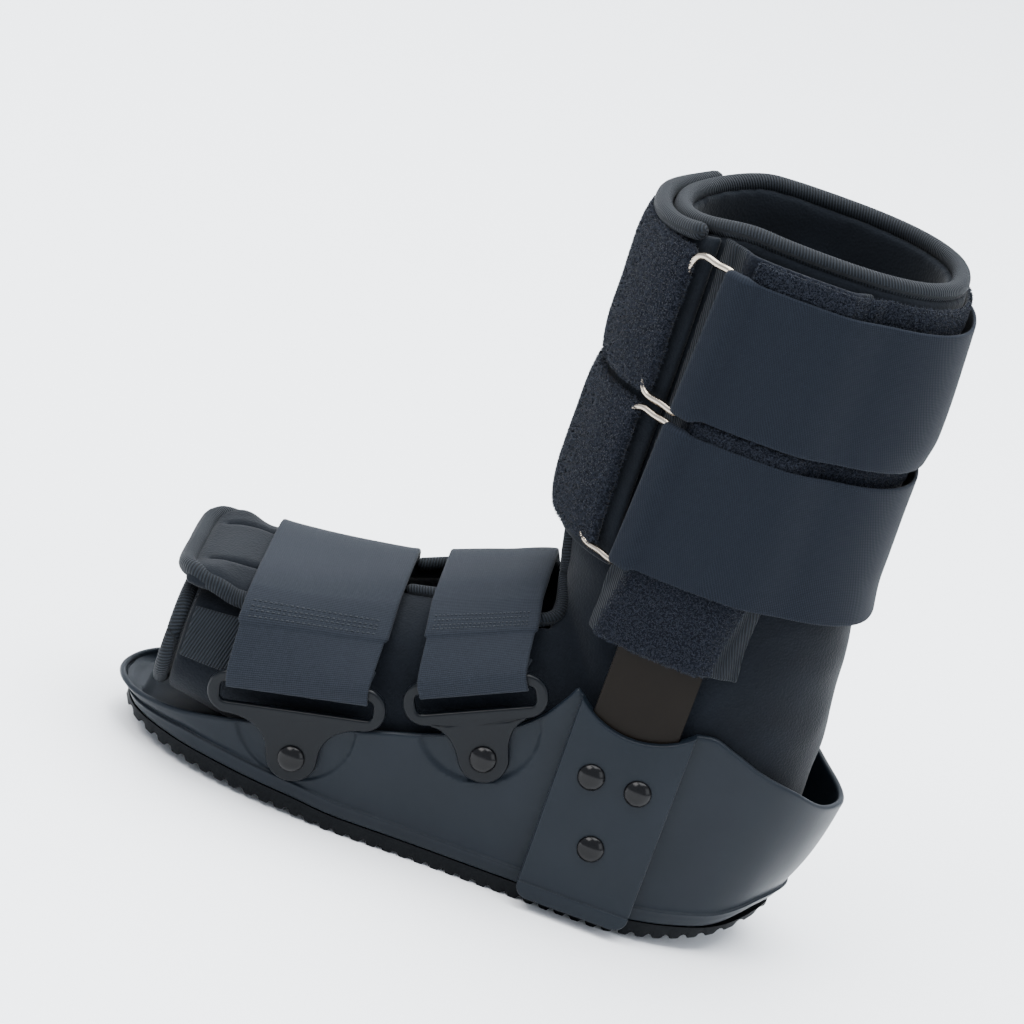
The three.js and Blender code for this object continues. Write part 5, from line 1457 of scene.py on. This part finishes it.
def make_shin_strap(name, row, from_x, seed):
    middle_z = (row["low"] + row["high"]) / 2
    far, near = shin_angles(from_x, SHIN_FLAP_EDGE_X, middle_z)
    z, a = leg_grid(far, near, row["low"], row["high"], 90, 40)
    inner = SHIN_FLAP + 2 * GAP
    share = (z - row["low"]) / (row["high"] - row["low"])
    rounding = 0.72 + 0.28 * (1 - (2 * share - 1) ** 4)
    bulge = 0.5 * wave(a * 45, z, 0 * z, 31 + seed, 16)
    thick = SHIN_STRAP * rounding
    grid = leg_point(a, z, inner + thick / 2 + 0.1 + np.maximum(bulge, -0.3))
    strap = sheet_piece(f"shin_strap_{name}_look", grid, thick, PILE_CLOTH, edge_points=6)
    keep(strap, f"shin_strap_{name}")
    add_fuzz(strap, f"shin_strap_{name}_fuzz", 4.2, 1.15, 50 + seed)


def make_ring(name, row, left_x, right_x):
    low = row["low"] - RING_WIRE / 2 - 0.4
    high = row["high"] + RING_WIRE / 2 - 0.6
    middle = (low + high) / 2

    def on_left(z):
        left = angle_at(left_x + lean(z, RING_LEAN), z)
        return leg_point(left, z, SHIN_FLAP + 2 * GAP + SHIN_STRAP / 2)

    def on_right(z):
        right = angle_at(right_x + lean(z, WEBBING_LEAN), z)
        return leg_point(right, z, webbing_lift(right, z) + FOLD / 2)

    def between(share, z):
        return on_left(z) * (1 - share) + on_right(z) * share

    tuck = RING_CORNER / RING_SPAN
    side_heights = (low + RING_CORNER, middle, high - RING_CORNER)
    points = [on_left(side_heights[0])]
    points += [between(share, low) for share in (tuck, 0.5, 1 - tuck)]
    points += [on_right(z) for z in side_heights]
    points += [between(share, high) for share in (1 - tuck, 0.5, tuck)]
    points += [on_left(side_heights[2]), on_left(middle)]
    course = through(points, 160, closed=True)
    keep_tube(f"ring_{name}", course, RING_WIRE, WIRE, "ring_wire", closed=True)


def make_shin_flap():
    far, near = shin_angles(SHIN_FLAP_EDGE_X, SHIN_FLAP_EDGE_X, 194)
    z, a = leg_grid(far, near, SHIN_FLAP_LOW, LEG_TOP, 90, 70)
    reach = (top_at(leg_point(a, z, 0)[..., 0]) - SHIN_FLAP_LOW) / (LEG_TOP - SHIN_FLAP_LOW)
    z = SHIN_FLAP_LOW + (z - SHIN_FLAP_LOW) * reach
    grid = leg_point(a, z, GAP + SHIN_FLAP / 2 + 0.25 * wave(a * 45, z, 0 * z, 41, 18))
    piece = sheet_piece("shin_flap_look", grid, SHIN_FLAP, VELOUR, edge_points=4)
    keep(piece, "shin_flap")


def sleeve_shift(z):
    """How far forward a sleeve hangs below the webbing."""
    return -SLEEVE_SWAY * smooth(z, 140, SLEEVE_LOW)


def off_woven_edges(places):
    """Which places on a sleeve lie on its pile and below the webbing over it."""
    x = places[:, 0] - sleeve_shift(places[:, 2])
    inside = (x > STRUT_X - SLEEVE_WIDTH / 2 + SELVAGE) & (x < STRUT_X + SLEEVE_WIDTH / 2 - SELVAGE)
    return inside & (places[:, 2] < 137)


def woven_edges(piece):
    """The strips down a sleeve's two edges are tape and not pile."""
    piece.data.materials.append(TAPE)
    for face in piece.data.polygons:
        x = face.center.x / MM - float(sleeve_shift(face.center.z / MM))
        if abs(x - STRUT_X) > SLEEVE_WIDTH / 2 - SELVAGE:
            face.material_index = 1


def make_sleeves():
    start = float(angle_at(STRUT_X - SLEEVE_WIDTH / 2 - 2, 180))
    end = float(angle_at(STRUT_X + SLEEVE_WIDTH / 2 - 2, 180))
    z, a = leg_grid(start, end, SLEEVE_LOW, SLEEVE_TOP, 70, 110)
    place = leg_point(a, z, 0)
    lift = sleeve_lift(place[..., 0])
    a = angle_at(place[..., 0] + sleeve_shift(z), z)
    flare = 1.2 * smooth(z, SLEEVE_LOW + 12, SLEEVE_LOW)
    flare = flare + 0.5 * wave(a * 40, z, 0 * z, 61, 14) * smooth(z, 134, 128)
    grid = leg_point(a, z, lift - SLEEVE_COVER / 2 + flare)
    left = sheet_piece("sleeve_left_look", grid, SLEEVE_COVER, PILE_CLOTH, edge_points=4)
    for piece, side in zip(keep_pair(left, "sleeve"), ("left", "right")):
        woven_edges(piece)
        add_fuzz(piece, f"sleeve_{side}_fuzz", 4.4, 0.9, 70, off_woven_edges)


# Fuzz: short bent fibres over the pile's outer face

MOST_FIBRES = 30000
FIBRE_HALF_WIDTH = 0.13


def outer_triangles(mesh, wanted):
    """Corners, normals and areas of a mesh's triangles, with no area where no fuzz is wanted."""
    mesh.calc_loop_triangles()
    count = len(mesh.vertices)
    places = np.zeros(count * 3)
    mesh.vertices.foreach_get("co", places)
    places = places.reshape(-1, 3) / MM
    corners = np.zeros(len(mesh.loop_triangles) * 3, np.int32)
    mesh.loop_triangles.foreach_get("vertices", corners)
    a, b, c = [places[corners.reshape(-1, 3)[:, k]] for k in range(3)]
    face = np.cross(b - a, c - a)
    centre = (a + b + c) / 3
    outward = centre - [LEG_AXIS_X, 0, 0]
    outward[:, 2] = 0
    outside = (unit(face) * unit(outward)).sum(axis=1) > -0.15
    if wanted is not None:
        outside &= wanted(centre)
    return a, b, c, unit(face), np.linalg.norm(face, axis=1) / 2 * outside


def fibre_points(triangles, total, length, chance):
    """Six points for each fibre: pairs at its root, its bend and its tip."""
    a, b, c, normals, area = triangles
    pick = chance.choice(len(area), total, p=area / area.sum())
    u, v = chance.random((2, total, 1))
    u, v = np.where(u + v > 1, 1 - u, u), np.where(u + v > 1, 1 - v, v)
    root = a[pick] + u * (b[pick] - a[pick]) + v * (c[pick] - a[pick])
    normal = normals[pick]
    lean = unit(np.cross(normal, chance.normal(size=(total, 3))))
    side = np.cross(normal, lean) * FIBRE_HALF_WIDTH
    size = length * chance.uniform(0.55, 1.15, (total, 1))
    middle = root + normal * size * 0.62 + lean * size * 0.25
    tip = root + normal * size * 0.8 + lean * size * 0.75
    rows = [root - side, root + side, middle + side, middle - side]
    return np.stack([*rows, tip - side * 0.6, tip + side * 0.6], axis=1)


def add_fuzz(piece, name, per_mm2, length, seed, wanted=None):
    triangles = outer_triangles(piece.data, wanted)
    wish = triangles[-1].sum() * per_mm2 * 1
    total = int(min(wish, MOST_FIBRES))
    points = fibre_points(triangles, total, length, np.random.default_rng(seed))
    index = np.arange(total)[:, None] * 6
    quads = np.concatenate([index + [0, 1, 2, 3], index + [3, 2, 5, 4]])
    fuzz = bpy.data.meshes.new(name)
    fuzz.from_pydata((points.reshape(-1, 3) * MM).tolist(), [], quads.tolist())
    fuzz.shade_smooth()
    fuzz.materials.append(FUZZ)
    holder = linked(name, fuzz)
    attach(holder, "root")


def fuzz_material():
    s = Shader("pile_fibre", (0.008, 0.010, 0.018), 0.85, Sheen_Weight=0.06, Specular_IOR_Level=0.1)
    s.tint(s.noise(900, 2), (0.0004, 0.0008, 0.0020), (0.0190, 0.0235, 0.0350))
    s.rough(s.noise(700, 2), 0.6, 0.95)
    return s.material


FUZZ = fuzz_material()


# Foot straps


def round_bar(bar, up, out):
    """The strap's turn round its loop's bar, from the inner side to the outer."""
    reach_out = LOOP_PLATE / 2 + CLEAR + STRAP / 2
    reach_up = LOOP_RIM / 2 + CLEAR + STRAP / 2
    beside = [bar + out * reach_out * side + up * (LOOP_RIM / 2 + CLEAR) for side in (-1, 1)]
    points = [beside[0]]
    for angle in np.radians([-80, -45, 0, 45, 80]):
        ahead = out * reach_out * squared(math.sin(angle), 4)
        points.append(bar + ahead - up * reach_up * squared(math.cos(angle), 4))
    return [*points, beside[1]]


def strap_course(name, row, across):
    """A line along the whole strap at one place across it."""
    origin, along, up, out = loop_seat(row)
    bar = origin + along * across + up * (LOOP_REACH + SLOT_HEIGHT + LOOP_RIM / 2)
    bar = bar + out * (GAP + LOOP_PLATE / 2)
    x = row["middle_x"] + across * math.cos(math.radians(row["tilt"]))
    inside = GAP * 2 + PATCH + STRAP / 2
    outside = inside + STRAP + CLEAR
    flap = GAP * 2 + FLAP_THICKNESS * float(flap_thick((x - FLAP_FRONT) / FLAP_LENGTH))
    over = (flap if name == "toe" else BINDING / 2) + 0.7 + STRAP / 2
    crown = float(instep_height(x, 0))

    def foot(angle, offset):
        height = foot_point(math.radians(angle), x, offset)[2]
        climb = np.clip((height - bar[2]) / (crown - bar[2]), 0, 1)
        return foot_point(math.radians(angle), bar[0] + (x - bar[0]) * climb, offset)

    join = row["join"]
    points = [foot(join, inside), *round_bar(bar, up, out), foot(join - 15, max(outside, over))]
    points += [foot(angle, over) for angle in (min(join - 30, 127), 120, 105, 90)]
    near = np.array(points)
    return through(np.concatenate([near, mirrored(near[:-1])]), STRAP_STEPS[0])


def make_foot_straps():
    for name, row in FOOT_STRAPS.items():
        half = row["width"] / 2 - 0.4
        places = np.linspace(-half, half, STRAP_STEPS[1])
        grid, thick, laps = lapped(np.array([strap_course(name, row, c) for c in places]))
        strap = sheet_piece(f"{name}_strap_look", grid, thick, FOOT_CLOTH, edge_points=3)
        keep(strap, f"{name}_strap")
        add_stitches(name, grid, laps)


def outward_normals(grid):
    """Normals of a strap's grid, away from the middle of the foot."""
    normal = unit(np.cross(np.gradient(grid, axis=1), np.gradient(grid, axis=0)))
    crown = normal[len(grid) // 2, grid.shape[1] // 2]
    return normal * np.sign(crown[2])


def lapped(grid):
    """The strap with its middle piece lapped over both ends, and where the laps start."""
    middle = len(grid) // 2
    along = lengths(grid[middle])
    half = grid.shape[1] // 2
    first = along[int(np.argmin(grid[middle, :half, 2]))] + LAP_FROM_BAR
    last = along[half + int(np.argmin(grid[middle, half:, 2]))] - LAP_FROM_BAR
    over = smooth(along, first - 0.5, first + 0.5) * (1 - smooth(along, last - 0.5, last + 0.5))
    normal = outward_normals(grid)
    centre = grid.mean(axis=0)
    grid = centre + (grid - centre) * (1 + 0.03 * over)[None, :, None]
    thick = np.broadcast_to(STRAP * (0.62 + 0.5 * over), grid.shape[:2])
    lift = STRAP * (-0.1 + 0.16 * over)
    return grid + normal * lift[None, :, None], thick, (first, last)


def add_stitches(name, grid, laps):
    """Rows of stitches where the strap's middle piece is sewn to its ends, on both sides."""
    along = lengths(grid[13])
    dk = unit(np.gradient(grid, axis=1))
    normal = outward_normals(grid)
    rows = np.arange(4) * STITCH_ROWS + STITCH_START
    rings, faces = [], []
    for at in [*(laps[0] + rows), *(laps[1] - rows)]:
        k = int(np.searchsorted(along, at))
        line = grid[1:-1, k] + normal[1:-1, k] * (STRAP * 0.56 + 0.1)
        fine = evenly(line, 75)
        for i in range(0, 72, 3):
            a, b = fine[i], fine[i + 1] + (fine[i + 2] - fine[i + 1]) * 0.7
            add_stitch(rings, faces, a, b, normal[13, k], dk[13, k])
    stitches = mesh_piece(f"{name}_stitches_look", np.array(rings), faces, THREAD)
    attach(stitches, "root")


def add_stitch(points, faces, a, b, normal, side):
    """One stitch: a thin six-sided bar with drawn-in ends."""
    start = len(points)
    turn = full_turn(6)
    for share, size in ((0, 0.1), (0.15, 0.26), (0.85, 0.26), (1, 0.1)):
        centre = a + (b - a) * share
        for angle in turn:
            points.append(centre + (normal * math.cos(angle) + side * math.sin(angle)) * size)
    for i in range(3):
        for j in range(6):
            m = (j + 1) % 6
            faces.append((start + i * 6 + j, start + i * 6 + m, start + i * 6 + 6 + m, start + i * 6 + 6 + j))
    faces.append(tuple(start + j for j in range(6)))
    faces.append(tuple(start + 18 + j for j in range(6)))


def finish_struts():
    """The CAD uprights are flat bars and are shown as they are, with rounded edges."""
    for side in ("left", "right"):
        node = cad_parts[f"strut_{side}"]
        edge = node.modifiers.new("edge", "BEVEL")
        edge.width = STRUT_EDGE * MM
        edge.segments = 2
        edge.limit_method = "ANGLE"
        dress(node, STRUT)


shell = make_shell()
make_sole()
make_rivets()
make_loops()
make_liner(shell)
make_trims()
make_bindings()
make_toe_flap()
make_flap_trim()
make_toe_patches()
make_shin_flap()
make_sleeves()
make_leg_straps()
make_foot_straps()
finish_struts()
